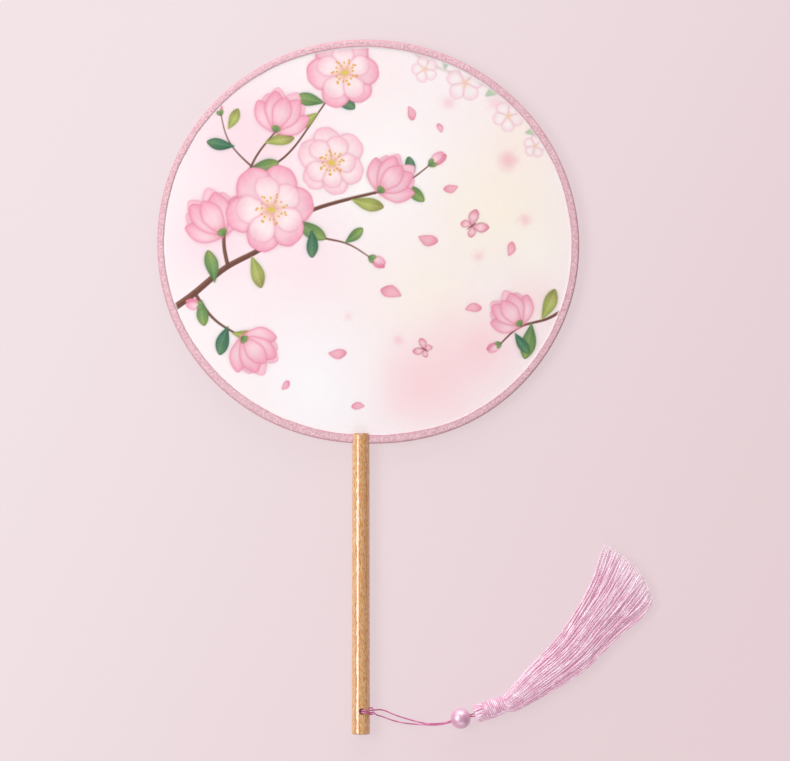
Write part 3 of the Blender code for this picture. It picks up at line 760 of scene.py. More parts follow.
# Branches: points, then widths from the first point to the last
BRANCHES = (
    (
        ((-124, -44), (-104, -30), (-84, -14), (-62, -2), (-44, 14), (-20, 24), (4, 30)),
        (4.2, 3.4, 2.6, 1.6),
    ),
    (((4, 30), (22, 36), (36, 46)), (1.6, 1.1, 0.8)),
    (((-84, -14), (-86, 6), (-76, 26), (-70, 46), (-56, 66)), (2.4, 1.9, 1.4, 1.0)),
    (((-44, 14), (-30, 4), (-14, 0), (0, -8)), (1.6, 1.2, 0.8)),
    (((-104, -30), (-92, -46), (-76, -56)), (2.2, 1.6, 1.2)),
    (((-70, 46), (-84, 62), (-88, 76)), (1.2, 0.9, 0.7)),
    (((-72, 40), (-52, 50), (-34, 72), (-20, 92)), (1.5, 1.3, 1.1, 0.9)),
    (((122, -36), (106, -46), (92, -50), (80, -60)), (2.2, 1.5, 0.9)),
)
# Open blooms: x, y, diameter, turn, inks of the outer petals
OPEN_BLOOMS = (
    (-58, 20, 56, 10, "pink"),
    (-22, 48, 44, 40, "pale"),
    (-14, 102, 46, 66, "pink"),
)
# Cupped blooms: x and y of the base, length, turn
CUP_BLOOMS = (
    (-86, 4, 31, 122),
    (6, 30, 27, 48),
    (-76, -56, 27, -48),
    (-56, 66, 28, 72),
    (92, -50, 24, 128),
)
# Buds: x, y, length, turn
BUDS = (
    (36, 46, 13, 38),
    (0, -8, 12, -28),
    (-88, 76, 10, 112),
    (80, -60, 10, -150),
    (-98, -38, 12, 170),
)
# Leaves: x, y, length, width, turn, bend, inks
LEAVES = (
    (-44, 14, 22, 9, -38, 0.5, "green"),
    (-34, 8, 17, 7, -84, -0.4, "blue"),
    (-10, 26, 20, 8, -18, 0.4, "young"),
    (20, 35, 17, 7, -30, -0.5, "green"),
    (26, 38, 14, 6, 92, 0.4, "blue"),
    (-72, 44, 19, 8, 8, 0.4, "green"),
    (-80, 58, 17, 7, 176, -0.4, "blue"),
    (-62, 60, 18, 7, 14, -0.4, "young"),
    (-92, -24, 20, 8, 96, 0.5, "green"),
    (-84, -50, 18, 8, -112, 0.4, "blue"),
    (-70, -8, 20, 8, -68, -0.4, "young"),
    (-100, -34, 16, 7, -88, 0.3, "green"),
    (-82, -54, 16, 6, -12, 0.4, "young"),
    (104, -46, 20, 8, 60, 0.5, "young"),
    (98, -48, 22, 9, -96, -0.4, "green"),
    (88, -54, 15, 6, -60, 0.4, "blue"),
    (-84, 68, 14, 6, 60, 0.3, "young"),
    (-14, 0, 14, 6, 34, 0.4, "green"),
    (-26, 84, 19, 8, 166, 0.4, "green"),
    (-22, 90, 17, 8, -28, -0.4, "blue"),
    (-30, 78, 15, 6, 214, 0.4, "young"),
)
# Petals on the wind: x, y, length, width, turn, bend
FALLEN = (
    (30, 4, 12, 7, -30, 0.8),
    (54, 34, 9, 5, 205, -0.7),
    (20, -32, 13, 7.5, 150, 0.7),
    (58, -40, 10, 5.5, 20, -0.8),
    (-24, -66, 11, 6, -12, 0.7),
    (84, -8, 9, 5, 60, 0.8),
    (24, 82, 9, 5, -60, -0.6),
    (-2, -98, 8, 4.5, 170, 0.6),
    (-52, -88, 7, 4, 40, 0.5),
    (44, 66, 6, 3.5, 100, 0.6),
)
# Far blooms out of focus: x, y, diameter, turn
FAR_BLOOMS = ((58, 96, 24, 10), (84, 76, 20, 50), (34, 104, 17, 30), (100, 58, 15, 5))
# Their twig's points, and their leaves: x, y, turn
FAR_TWIG = ((22, 118), (40, 106), (62, 98), (86, 84), (104, 64))
FAR_LEAVES = ((70, 88, 30), (46, 104, 80), (94, 66, 10), (76, 94, 100))
# Butterflies: x, y, span, turn
BUTTERFLIES = ((62, 10, 17, 35), (34, -64, 12, 150))
INKS = {
    "pale": PETAL_PALE,
    "pink": PETAL_PINK,
    "green": LEAF_GREEN,
    "blue": LEAF_BLUE,
    "young": LEAF_YOUNG,
}
# Petals of a cupped bloom, back to front: turn, length share, width share, bend, inks
CUP_PETALS = (
    (-34, 0.86, 0.44, 0.35, "pale"),
    (34, 0.86, 0.44, -0.35, "pale"),
    (-14, 1.00, 0.46, 0.15, "pale"),
    (16, 0.98, 0.46, -0.15, "pale"),
    (-58, 0.80, 0.38, 0.70, "pink"),
    (56, 0.78, 0.38, -0.70, "pink"),
    (-22, 0.88, 0.44, 0.20, "pink"),
    (20, 0.90, 0.44, -0.25, "pink"),
    (0, 0.80, 0.42, 0.00, "pink"),
)


def offset(place, turn, length):
    """The place that far away at an angle in degrees."""
    angle = math.radians(turn)
    return (place[0] + length * math.cos(angle), place[1] + length * math.sin(angle))


def draw_leaf(sheet, x, y, length, width, turn, bend, ink):
    """A leaf with its middle vein."""
    sheet.petal((x, y), turn, length, width, INKS[ink], bend, ribs=1.0)
    vein = []
    for share in (0.0, 0.35, 0.65, 0.92):
        along = offset((x, y), turn, share * length)
        vein.append(offset(along, turn + 90, bend * share * share * width / 2))
    sheet.stroke(vein, (0.6, 0.35), np.add(INKS[ink][1], 34), 0.6, 0.3)


def draw_open_bloom(sheet, x, y, size, turn, ink):
    """A bloom seen from the front: two whorls of petals round a heart of stamens."""
    for whorl, (count, share, inks, shift) in enumerate(((6, 0.5, ink, 0), (5, 0.38, "pale", 24))):
        for i in range(count):
            angle = turn + shift + 360 * i / count + 7 * math.sin(3.1 * i + whorl)
            length = size * share * (1 + 0.06 * math.sin(5.3 * i + turn))
            width = length * (0.74 + 0.05 * math.cos(2.7 * i))
            sheet.petal((x, y), angle, length, width, INKS[inks], 0.2 * math.sin(2.1 * i), 0.06)
    sheet.wash((x, y), size * 0.09, BLOOM_HEART, 0.75)
    for i in range(STAMENS):
        angle = turn + 360 * i / STAMENS + 9 * math.sin(4.7 * i)
        reach = size * (0.13 + 0.035 * math.sin(7.9 * i))
        tip = offset((x, y), angle, reach)
        middle = offset((x, y), angle + 5, reach * 0.55)
        sheet.stroke(((x, y), middle, tip), (0.45, 0.3), STAMEN, 0.85, 0.25)
        sheet.stroke((tip, offset(tip, angle, 0.5)), (0.95, 0.95), STAMEN_TIP, 0.9, 0.3)
    sheet.stroke(((x - 0.6, y), (x + 0.6, y)), (2.6, 2.6), BLOOM_EYE, 0.9, 0.5)


def draw_cup_bloom(sheet, x, y, size, turn):
    """A bloom seen from the side, on its small green calyx."""
    for lean, long, wide, bend, ink in CUP_PETALS:
        sheet.petal((x, y), turn + lean, size * long, size * wide, INKS[ink], bend)
    glow = offset((x, y), turn, size * 0.12)
    sheet.wash(glow, size * 0.16, CUP_GLOW, 0.5)
    for lean in (-26, 0, 26):
        sheet.petal((x, y), turn + lean, size * 0.17, size * 0.09, LEAF_GREEN, 0.0)


def draw_bud(sheet, x, y, size, turn):
    """A closed bud with its sheath."""
    sheet.petal((x, y), turn - 9, size, size * 0.42, PETAL_DEEP, 0.25)
    sheet.petal((x, y), turn + 8, size * 0.96, size * 0.40, PETAL_PINK, -0.2)
    for lean in (-24, 20):
        sheet.petal((x, y), turn + lean, size * 0.42, size * 0.22, LEAF_GREEN, 0.0)


def draw_far_bloom(sheet, x, y, size, turn):
    """A bloom in the distance, out of focus."""
    for i in range(5):
        sheet.petal((x, y), turn + 72 * i, size / 2, size * 0.36, FAR_PETAL, 0.1, 0.05, 1.4, 0.75)
    sheet.wash((x, y), size * 0.12, FAR_HEART, 0.5)


def draw_butterfly(sheet, x, y, span, turn):
    """A small butterfly with open wings."""
    for side in (-1, 1):
        for lean, long, wide, bend in ((48, 0.62, 0.34, -0.5), (118, 0.40, 0.28, 0.4)):
            angle = turn + side * lean
            sheet.petal((x, y), angle, span * long, span * wide, WING, side * bend, 0, 0.25)
    tail = offset((x, y), turn + 180, span * 0.2)
    head = offset((x, y), turn, span * 0.16)
    sheet.stroke((tail, (x, y), head), (0.5, 0.9, 0.7), BUTTERFLY_BODY, 0.9, 0.25)
    for side in (-1, 1):
        feeler = offset(head, turn + side * 24, span * 0.24)
        sheet.stroke((head, feeler), (0.3, 0.3), BUTTERFLY_BODY, 0.7, 0.25)


def draw_branch(sheet, points, widths):
    """A twig with a lit upper side and small knots."""
    sheet.stroke(points, widths, TWIG, 0.95, 0.3)
    lit = [(x - 0.2 * widths[0] / 2, y + 0.45 * widths[0] / 2) for x, y in points]
    sheet.stroke(lit, [0.3 * width for width in widths], TWIG_LIT, 0.55, 0.3)


def draw_print(sheet):
    """The whole design, back to front."""
    for i, (x, y, reach, colour, cover) in enumerate(WASHES):
        sheet.wash((x, y), reach, colour, cover, i + 2)
    for x, y, reach, cover in SPOTS:
        sheet.wash((x, y), reach, SPOT_INK, cover, 7)
    sheet.stroke(FAR_TWIG, (1.6, 1.2), FAR_TWIG_INK, 0.5, 1.2)
    for bloom in FAR_BLOOMS:
        draw_far_bloom(sheet, *bloom)
    for x, y, turn in FAR_LEAVES:
        sheet.petal((x, y), turn, 12, 5, FAR_LEAF, 0.3, 0, 0.9, 0.8)
    for branch in BRANCHES:
        draw_branch(sheet, *branch)
    for leaf in LEAVES:
        draw_leaf(sheet, *leaf)
    for bud in BUDS:
        draw_bud(sheet, *bud)
    for bloom in CUP_BLOOMS:
        draw_cup_bloom(sheet, *bloom)
    for bloom in OPEN_BLOOMS:
        draw_open_bloom(sheet, *bloom)
    for x, y, length, width, turn, bend in FALLEN:
        sheet.petal((x, y), turn, length, width, PETAL_FALLEN, bend)
    for butterfly in BUTTERFLIES:
        draw_butterfly(sheet, *butterfly)


def face_grid(step):
    """A square grid cut to the cloth's outline: its places from the head's centre, and its quads."""
    reach = float(OUTER_RADIUS(np.linspace(0, 2 * np.pi, 360)).max())
    count = int(reach / step) + 1
    line = np.arange(-count, count + 1) * step
    x, y = np.meshgrid(line, line)
    places = np.column_stack([x.ravel(), y.ravel()])
    angle = np.arctan2(places[:, 1], places[:, 0])
    inside = np.hypot(*places.T) < OUTER_RADIUS(angle) - CLOTH_HIDDEN
    index = np.arange(len(places)).reshape(x.shape)
    corners = (index[:-1, :-1], index[:-1, 1:], index[1:, 1:], index[1:, :-1])
    quads = np.stack(corners, axis=-1).reshape(-1, 4)
    quads = quads[inside[quads].all(axis=1)]
    used = np.zeros(len(places), bool)
    used[quads] = True
    renumber = np.cumsum(used) - 1
    return places[used], renumber[quads]


def make_face(name, side, step, cloth):
    """One printed cloth panel. The back one is the same print seen from behind."""
    places, quads = face_grid(step)
    sheet = Print(places / MM, GROUND)
    draw_print(sheet)
    angle = np.arctan2(places[:, 1], places[:, 0])
    to_tape = (INNER_RADIUS(angle) - np.hypot(*places.T)) / MM
    pale = BY_TAPE_COVER * smoothstep(*BY_TAPE_REACH, to_tape)
    sheet.lay(np.arange(len(places)), BY_TAPE, pale)
    height = np.full(len(places), MID_HEIGHT + side * CLOTH_HEIGHT)
    points = np.column_stack([places[:, 0] + HEAD_X, places[:, 1] + HEAD_Y, height])
    made = mesh_object(name, points, quads if side > 0 else quads[:, ::-1])
    colours = np.column_stack([screen(sheet.colour), np.ones(len(points))])
    attribute(made, "print", "FLOAT_COLOR", "POINT", colours)
    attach(made, "fan")
    dress(made, cloth, "face_front" if side > 0 else "face_back")


def cloth_material():
    """Fine printed cloth: the print's colour, a close weave and a soft sheen."""
    s = Shader("cloth_front")
    colour = s.attribute("print").outputs["Color"]
    across = s.node("TexWave", s.place((1, 1, 1)), 2600.0, wave_profile="SIN", bands_direction="X")
    along = s.node("TexWave", s.place((1, 1, 1)), 2600.0, wave_profile="SIN", bands_direction="Y")
    weave = s.math("ADD", across.outputs[1], along.outputs[1])
    slub = s.noise(s.place((260, 2600, 1)), 1.0, 2.0)
    height = s.math("ADD", weave, slub)
    fine = s.spread(s.noise(s.place((1, 1, 1)), 900.0, 3.0), 0.3, 0.7, 0.975, 1.0)
    tinted = s.blend(1.0, colour, fine, "MULTIPLY")
    return s.finish(
        Base_Color=tinted,
        Roughness=0.62,
        Specular_IOR_Level=0.3,
        Sheen_Weight=0.08,
        Normal=s.bump(height, 0.00002, 0.35),
    )


def tape_profile(lap):
    """The folded tape's section for a lap of that width, from the fold to the cut edge."""
    fold_end = TAPE_FOLD[-1][0]
    flat = [(fold_end + share * (lap - fold_end), TAPE_HEIGHT) for share in TAPE_FLAT]
    return [*TAPE_FOLD, *flat, *((lap - left, height) for left, height in TAPE_EDGE)]


def folded_side(side, angle, outer, inner):
    """One side of the tape, as rings from the fold inwards: points, inset and what is left."""
    place = np.column_stack([np.cos(angle), np.sin(angle)]) * HEAD_REACH
    wander = LAP_WANDER * lattice_noise(place, 0.011, 3 + side)
    wander += LAP_WANDER / 2 * lattice_noise(place, 0.003, 5 + side)
    lap = outer - inner + wander
    inset, height = np.array([tape_profile(width) for width in lap]).transpose(2, 1, 0)
    crease = lattice_noise(place, 0.0022, 11 + side) * 0.6
    crease = crease + lattice_noise(place, 0.0009, 17) * 0.4
    left = lap - inset
    free = smoothstep(0.0003, 0.0016, inset) * smoothstep(-0.0001, 0.0008, left)
    height = height + CREASE_HEIGHT * crease * free
    radius = outer - inset
    x, y = HEAD_X + radius * np.cos(angle), HEAD_Y + radius * np.sin(angle)
    return np.stack([x, y, MID_HEIGHT + side * height], axis=-1), inset, left


def make_binding(material):
    """The pink tape, folded round the rim by hand, with small creases."""
    angle = 2 * np.pi * np.arange(TAPE_STEPS) / TAPE_STEPS
    outer, inner = OUTER_RADIUS(angle), INNER_RADIUS(angle)
    front = folded_side(1, angle, outer, inner)
    back = folded_side(-1, angle, outer, inner)
    both = [np.concatenate([ours[::-1], theirs[1:]]) for ours, theirs in zip(front, back)]
    rings, inset, to_edge = both
    index = np.arange(len(rings) * TAPE_STEPS).reshape(len(rings), TAPE_STEPS)
    near, far = index[:-1], index[1:]
    corners = (near, far, np.roll(far, -1, 1), np.roll(near, -1, 1))
    quads = np.stack(corners, axis=-1).reshape(-1, 4)
    made = mesh_object("binding_tape", rings.reshape(-1, 3), quads)
    attribute(made, "inset", "FLOAT", "POINT", inset.ravel() / MM)
    attribute(made, "to_edge", "FLOAT", "POINT", to_edge.ravel() / MM)
    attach(made, "fan")
    dress(made, material, "edge_binding")


def tape_material():
    """Dusty pink crepe tape: a painted shade along its rounded fold, deeper towards its cut edge,
    mottled, with a fine grain.
    """
    s = Shader("tape")
    # Painted shade: the tape is deeper pink towards its rounded fold, which turns away from the
    # light
    fold = s.spread(s.attribute("inset").outputs["Fac"], 0.15, 0.95, 1.0, 0.0)
    mottle = s.noise(s.place((1, 1, 1)), 900.0, 3.0, 0.6)
    patches = s.noise(s.place((1, 1, 1)), 130.0, 2.0)
    colour = s.blend(s.spread(mottle, 0.38, 0.62), paint(TAPE_DARK), paint(TAPE_PALE))
    colour = s.blend(s.spread(patches, 0.35, 0.65, 0.0, 0.45), colour, paint(TAPE_PATCH))
    colour = s.blend(s.math("MULTIPLY", fold, 0.85), colour, paint(TAPE_DEEP))
    to_edge = s.attribute("to_edge").outputs["Fac"]
    colour = s.blend(s.spread(to_edge, 0.2, 0.9, 0.6, 0.0), colour, paint(TAPE_DEEP))
    grain = s.node("TexVoronoi", s.place((1, 1, 1)), feature="F1")
    grain.inputs["Scale"].default_value = 1500.0
    height = s.math("ADD", grain.outputs[0], s.math("MULTIPLY", mottle, 1.2))
    return s.finish(
        Base_Color=colour,
        Roughness=0.8,
        Specular_IOR_Level=0.25,
        Sheen_Weight=0.15,
        Normal=s.bump(height, 0.00006, 0.7),
    )


def beech_colour(s, grain):
    """Beech: broad bands, fine grain, pale rays that also serve as a painted broken highlight, dark
    flecks, and darker end grain that also serves as painted shade on the chamfered ends.
    """
    broad = s.noise(s.place((620, 6, 620)), 1.0, 2.0, 0.5)
    fleck = s.noise(s.place((3000, 380, 3000)), 1.0, 1.0, 0.4)
    ray_and_glint = s.noise(s.place((3300, 340, 3300)), 1.3, 1.0, 0.4)
    colour = s.blend(s.spread(broad, 0.35, 0.65), paint(BEECH_PALE), paint(BEECH_DEEP))
    colour = s.blend(s.spread(grain, 0.4, 0.62, 0.0, 0.6), colour, paint(BEECH_GRAIN))
    # Pale ray flecks, which also serve as a painted broken highlight
    colour = s.blend(s.spread(ray_and_glint, 0.51, 0.65, 0.0, 0.65), colour, paint(BEECH_RAY_AND_GLINT))
    colour = s.blend(s.spread(fleck, 0.54, 0.64, 0.0, 0.7), colour, paint(BEECH_FLECK))
    # Faces turned along the handle, at its chamfered ends, are darker: end grain, and painted shade
    facing = s.node("SeparateXYZ", s.node("NewGeometry").outputs["Normal"]).outputs[1]
    end_grain_and_shade = s.spread(s.math("ABSOLUTE", facing), 0.3, 0.6, 0.0, 0.85)
    return s.blend(end_grain_and_shade, colour, paint(BEECH_END_GRAIN_AND_SHADE))


def wood_material():
    """Lacquered beech: long grain, short flecks and a clear gloss with a broken highlight."""
    s = Shader("beech")
    grain = s.noise(s.place((1300, 70, 1300)), 1.0, 4.0, 0.65)
    colour = beech_colour(s, grain)
    ripple = s.noise(s.place((800, 260, 800)), 1.0, 2.0)
    height = s.math("ADD", s.math("MULTIPLY", grain, 0.7), ripple)
    reached = s.node("SeparateXYZ", s.place((1, 1, 1))).outputs[1]
    uneven = s.math("MULTIPLY", ripple, s.spread(reached, *SMOOTH_FROM, 1.25, 0.2))
    return s.finish(
        Base_Color=colour,
        Roughness=s.spread(grain, 0.3, 0.7, 0.42, 0.52),
        Specular_IOR_Level=0.05,
        Coat_Weight=1.0,
        Coat_Roughness=0.05,
        Coat_IOR=1.95,
        Normal=s.bump(height, 0.00007, 0.6),
        Coat_Normal=s.bump(uneven, 0.00010, 0.7),
    )


def bamboo_material():
    """Split bamboo with straight fibres."""
    s = Shader("bamboo")
    fibre = s.noise(s.place((400, 400, 2600)), 1.0, 3.0)
    colour = s.blend(s.spread(fibre, 0.3, 0.7), paint(BAMBOO_PALE), paint(BAMBOO_DARK))
    return s.finish(Base_Color=colour, Roughness=0.55, Normal=s.bump(fibre, 0.00005, 0.5))


def pearl_material():
    """A pink pearl: a soft glow under a satin coat."""
    s = Shader("pearl")
    cloud = s.noise(s.place((1, 1, 1)), 260.0, 2.0)
    return s.finish(
        Base_Color=s.blend(s.spread(cloud, 0.3, 0.7), paint(PEARL_DEEP), paint(PEARL_PALE)),
        Roughness=0.6,
        Specular_IOR_Level=0.5,
        Coat_Weight=1.0,
        Coat_Roughness=0.45,
        Coat_IOR=4.4,
        Sheen_Weight=1.0,
        Sheen_Roughness=0.35,
        Sheen_Tint=paint(PEARL_RIM),
    )


def bead_outline():
    """The pearl's outline as (along its bore, out from it), round through the bore."""
    reach = math.acos(BORE_RADIUS / BEAD_RADIUS)
    lean = np.linspace(-reach, reach, BEAD_ROWS)
    ball = np.column_stack([BEAD_RADIUS * np.sin(lean), BEAD_RADIUS * np.cos(lean)])
    end, mouth = ball[-1, 0], BORE_RADIUS + BORE_EDGE
    bore = np.array([(end - 2 * BORE_EDGE, BORE_RADIUS), (ball[0, 0] + 2 * BORE_EDGE, BORE_RADIUS)])
    rim = np.array([(end + BORE_LIP, mouth), (ball[0, 0] - BORE_LIP, mouth)])
    return np.concatenate([ball[1:-1], rim[:1], bore, rim[1:]])


def make_bead(material):
    """The pearl with its bore, finer than the CAD node."""
    outline = bead_outline()
    turn = 2 * np.pi * np.arange(BEAD_SIDES) / BEAD_SIDES
    along, out = outline[:, :1], outline[:, 1:]
    rings = np.stack([along + 0 * turn, out * np.cos(turn), out * np.sin(turn)], axis=-1)
    heading = np.array([math.cos(BEAD_TURN), math.sin(BEAD_TURN), 0])
    across = np.array([-math.sin(BEAD_TURN), math.cos(BEAD_TURN), 0])
    points = rings.reshape(-1, 3) @ np.array([heading, across, (0, 0, 1)]) + BEAD_PLACE
    index = np.arange(len(points)).reshape(len(outline), BEAD_SIDES)
    far = np.roll(index, -1, 0)
    corners = (index, far, np.roll(far, -1, 1), np.roll(index, -1, 1))
    made = mesh_object("pearl_bead", points, np.stack(corners, axis=-1).reshape(-1, 4))
    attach(made, "bead")
    dress(made, material, "bead")


def thread_material(name, colours, pitch_mm, plies, rough, tip_start=None):
    """Silky twisted thread: its body colour on the crests, painted shade in the grooves between the
    plies, patches of random paler tone that also serve as painted glints, fine fibres along the
    twist, and a faint painted glow in place of light through the silk.
    """
    pale, body, dark = (paint(colour) for colour in colours)
    s = Shader(name)
    along, around, number = s.node("SeparateXYZ", s.attribute("strand").outputs["Vector"]).outputs
    phase = s.math("ADD", s.math("DIVIDE", along, pitch_mm), around)
    lay = s.math("SINE", s.math("MULTIPLY", phase, 2 * math.pi * plies))
    fibre = s.math("SINE", s.math("MULTIPLY", s.math("ADD", phase, number), 2 * math.pi * FIBRES))
    crest = s.spread(lay, -1.0, 0.7)
    apart, lengthwise = s.math("MULTIPLY", number, 400.0), s.math("MULTIPLY", along, 0.14)
    tone_and_painted_glints = s.noise(s.node("CombineXYZ", apart, lengthwise).outputs[0], 1.0, 1.0)
    # Painted shade: the dark colour fills the grooves between the plies, the body colour their
    # crests
    colour = s.blend(crest, dark, body)
    # Pale patches of random tone along each thread, which also serve as painted glints
    colour = s.blend(s.spread(tone_and_painted_glints, 0.45, 0.62, 0.0, 0.75), colour, pale)
    if tip_start is not None:
        tips = s.spread(along, tip_start, tip_start + TIP_FADE, 0.0, 0.75)
        colour = s.blend(tips, colour, pale)
    height = s.math("ADD", lay, s.math("MULTIPLY", fibre, 0.25))
    return s.finish(
        Base_Color=colour,
        Roughness=rough,
        Specular_IOR_Level=0.55,
        Sheen_Weight=0.25,
        Sheen_Roughness=0.35,
        # Painted glow: the thread gives off its body colour, in place of light passing through the
        # silk
        Emission_Color=body,
        Emission_Strength=THREAD_PAINTED_GLOW,
        Normal=s.bump(height, 0.00006, 0.8),
    )


def cord_strand(name, route, start):
    """A length of the twisted cord along its route."""
    radius = CORD_DIAMETER / 2
    return strands(name, route[None], radius, 16, 3, CORD_HOLLOW, CORD_PITCH, start)


def route_length(route):
    """The length along a route's points."""
    return float(np.linalg.norm(np.diff(route, axis=0), axis=1).sum())


def make_leg(name, route, start, material):
    """A length of the doubled cord, running between two bodies, with its place baked into its
    points.
    """
    made = cord_strand(name, route, start)
    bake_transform(made)
    dress(made, material, "cord_loop")


def make_cords(material):
    """The hitch on the handle, the two legs to the bead, and the end that loops in the tassel."""
    hitch = cord_strand("hitch", smooth_route(HITCH_POINTS, CORD_STEP), 0.0)
    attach(hitch, "fan")
    dress(hitch, material, "cord_hitch")

    loop = smooth_route((HITCH_POINTS[0], *LOOP_POINTS, HITCH_POINTS[-1]), CORD_STEP)
    in_bead = np.flatnonzero(np.diff(loop[:, 0] > BEAD_PLACE[0]))
    first, last = in_bead[0] + 1, in_bead[-1] + 1
    upper, end, lower = loop[: first + 1], loop[first : last + 1], loop[last:]
    at_bead = route_length(upper)
    back_at_bead = at_bead + route_length(end)
    make_leg("cord_leg_upper", upper, 0.0, material)
    make_leg("cord_end", end, at_bead, material)
    make_leg("cord_leg_lower", lower, back_at_bead, material)


def in_tassel(points):
    """Places from (along, across, up) of the tassel's straight part."""
    along = np.array([math.cos(TASSEL_TURN), math.sin(TASSEL_TURN), 0])
    across = np.array([-math.sin(TASSEL_TURN), math.cos(TASSEL_TURN), 0])
    up = np.array([0.0, 0.0, 1.0])
    points = np.asarray(points, float)
    start = np.array(TASSEL_START)
    return start + points[..., :1] * along + points[..., 1:2] * across + points[..., 2:3] * up


def even_curve(points, step, count):
    """A smooth curve through points in a plane, as that many evenly spaced points."""
    fine = smooth_route(points, step)
    at = np.linspace(0, 1, len(fine))
    wanted = np.linspace(0, 1, count)
    return np.column_stack([np.interp(wanted, at, fine[:, i]) for i in (0, 1)])


def make_head_threads(material):
    """The threads folded over the cord's end: over the cap's edge and down into the wrap."""
    fine = even_curve(HEAD_PROFILE, 0.0004, HEAD_ROWS)
    rng = np.random.default_rng(4)
    routes = []
    for i in range(HEAD_THREADS):
        turn = 2 * np.pi * (i + rng.uniform(-0.25, 0.25)) / HEAD_THREADS
        swirl = rng.uniform(-0.12, 0.12) * np.linspace(0, 1, HEAD_ROWS)
        lift = 1 + rng.uniform(-0.05, 0.04)
        angle = turn + swirl
        radius = fine[:, 1] * lift
        routes.append(np.column_stack([fine[:, 0], radius * np.cos(angle), radius * np.sin(angle)]))
    routes = in_tassel(np.array(routes))
    made = strands("tassel_head", routes, HEAD_THREAD / 2, 8, 2, 0.3, 0.0030)
    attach(made, "tassel")
    dress(made, material, "tassel_threads")


def make_wrap(material):
    """The thread wound tightly round the neck."""
    count = WRAP_TURNS * WRAP_STEPS
    radius = np.linspace(*WRAP_RADII, count + 1)
    turn = 2 * np.pi * np.arange(count + 1) / WRAP_STEPS
    first, last = HEAD_LENGTH + WRAP_MARGIN, HEAD_LENGTH + NECK_LENGTH - WRAP_MARGIN
    along = np.linspace(first, last, count + 1)
    rng = np.random.default_rng(9)
    each_turn = np.arange(0, count + WRAP_STEPS + 1, WRAP_STEPS)
    loose = np.interp(np.arange(count + 1), each_turn, rng.uniform(-1, 1, WRAP_TURNS + 2))
    out = radius + WRAP_SLACK * loose
    route = in_tassel(np.column_stack([along, out * np.cos(turn), out * np.sin(turn)]))
    made = strands("neck_wrap", route[None], WRAP_THREAD / 2, 12, 3, 0.06, 0.0042)
    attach(made, "tassel")
    dress(made, material, "tassel_wrap")


def make_tail(material):
    """The wrap's own end, a flat bunch laid along the lower side of the neck."""
    routes = []
    for i, angle in enumerate(TAIL_ANGLES):
        turn = math.radians(angle)
        along = np.linspace(*TAIL_REACH, TAIL_ROWS)
        bow = np.sin(np.linspace(0, np.pi, TAIL_ROWS)) ** 0.5
        out = (TAIL_RADIUS + TAIL_SPREAD * (i % 2)) * (0.86 + 0.14 * bow)
        routes.append(np.column_stack([along, out * math.sin(turn), out * math.cos(turn)]))
    routes = in_tassel(np.array(routes))
    made = strands("tail_threads", routes, TAIL_THREAD / 2, 8, 2, 0.3, 0.0032)
    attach(made, "tassel")
    dress(made, material, "wrap_tail")


def skirt_waves(rng, t):
    """Slow waves of each thread of the skirt, at each share of its length."""
    waves = np.zeros((SKIRT_THREADS, len(t)))
    for count, height in SKIRT_WAVES:
        phase = rng.uniform(0, 2 * np.pi, (SKIRT_THREADS, 1))
        waves += height * np.sin(2 * np.pi * count * t + phase) * smoothstep(0.0, 0.35, t)
    return waves


def skirt_lean(side, drift, waves, t):
    """How far across the skirt each thread runs, from -1 at its lower edge to 1 at its upper."""
    clump = (np.floor(side * SKIRT_CLUMPS / 2) + 0.5) * 2 / SKIRT_CLUMPS
    pull = CLUMP_PULL * (clump - side)[:, None]
    pull = pull * smoothstep(0.1, 0.5, t) * smoothstep(1.15, 0.8, t)
    return np.clip(side[:, None] + drift + waves + pull, -SKIRT_EDGE, SKIRT_EDGE)


def skirt_plan(at, lean, t):
    """The threads seen from above, between the skirt's two edges, with a rounded end."""
    edges = [even_curve(edge, 0.0005, len(t)) for edge in (SKIRT_UPPER, SKIRT_LOWER)]
    upper, lower = (
        np.stack([np.interp(at, t, edge[:, 0]), np.interp(at, t, edge[:, 1])], -1) for edge in edges
    )
    half = (1 + lean)[..., None] / 2
    flat = upper * half + lower * (1 - half)
    chord = edges[0][-1] - edges[1][-1]
    outward = np.array([chord[1], -chord[0]])
    outward = outward / np.linalg.norm(outward)
    bulge = SKIRT_BULGE * (1 - np.clip(np.abs(lean), 0, 1) ** 2) * smoothstep(0.55, 1.0, at)
    return flat + bulge[..., None] * outward


def make_skirt(material):
    """The free threads, spread from the neck to a fan-shaped end."""
    t = np.linspace(0, 1, SKIRT_RINGS)
    rng = np.random.default_rng(21)
    number = np.arange(SKIRT_THREADS)
    out = np.sqrt((number + 0.5) / SKIRT_THREADS)
    side, rise = out * np.cos(number * GOLDEN_ANGLE), out * np.sin(number * GOLDEN_ANGLE)
    length_share = 1 - np.abs(rng.normal(0, SKIRT_UNEVEN, SKIRT_THREADS))
    drift = rng.normal(0, SKIRT_DRIFT, (SKIRT_THREADS, 1)) * smoothstep(0.1, 0.9, t)
    waves = skirt_waves(rng, t)
    at = t * length_share[:, None]
    flat = skirt_plan(at, skirt_lean(side, drift, waves, t), t)
    tall = np.interp(at, *SKIRT_HALF_HEIGHTS)
    middle = np.interp(at, (0, 1), (TASSEL_START[2], SKIRT_END_MIDDLE))
    middle = np.maximum(tall + SKIRT_CLEARANCE, middle)
    lift = rise[:, None] + 0.5 * waves + rng.normal(0, SKIRT_RISE, (SKIRT_THREADS, 1))
    height = middle + tall * np.clip(lift, -1, 1)
    routes = np.concatenate([flat, height[..., None]], axis=-1)
    width = np.interp(t, *SKIRT_THREAD_SHARES) * SKIRT_THREAD / 2
    made = strands("tassel_skirt", routes, width[None], 6, 2, 0.3, 0.0040)
    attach(made, "tassel")
    dress(made, material, "tassel_threads")


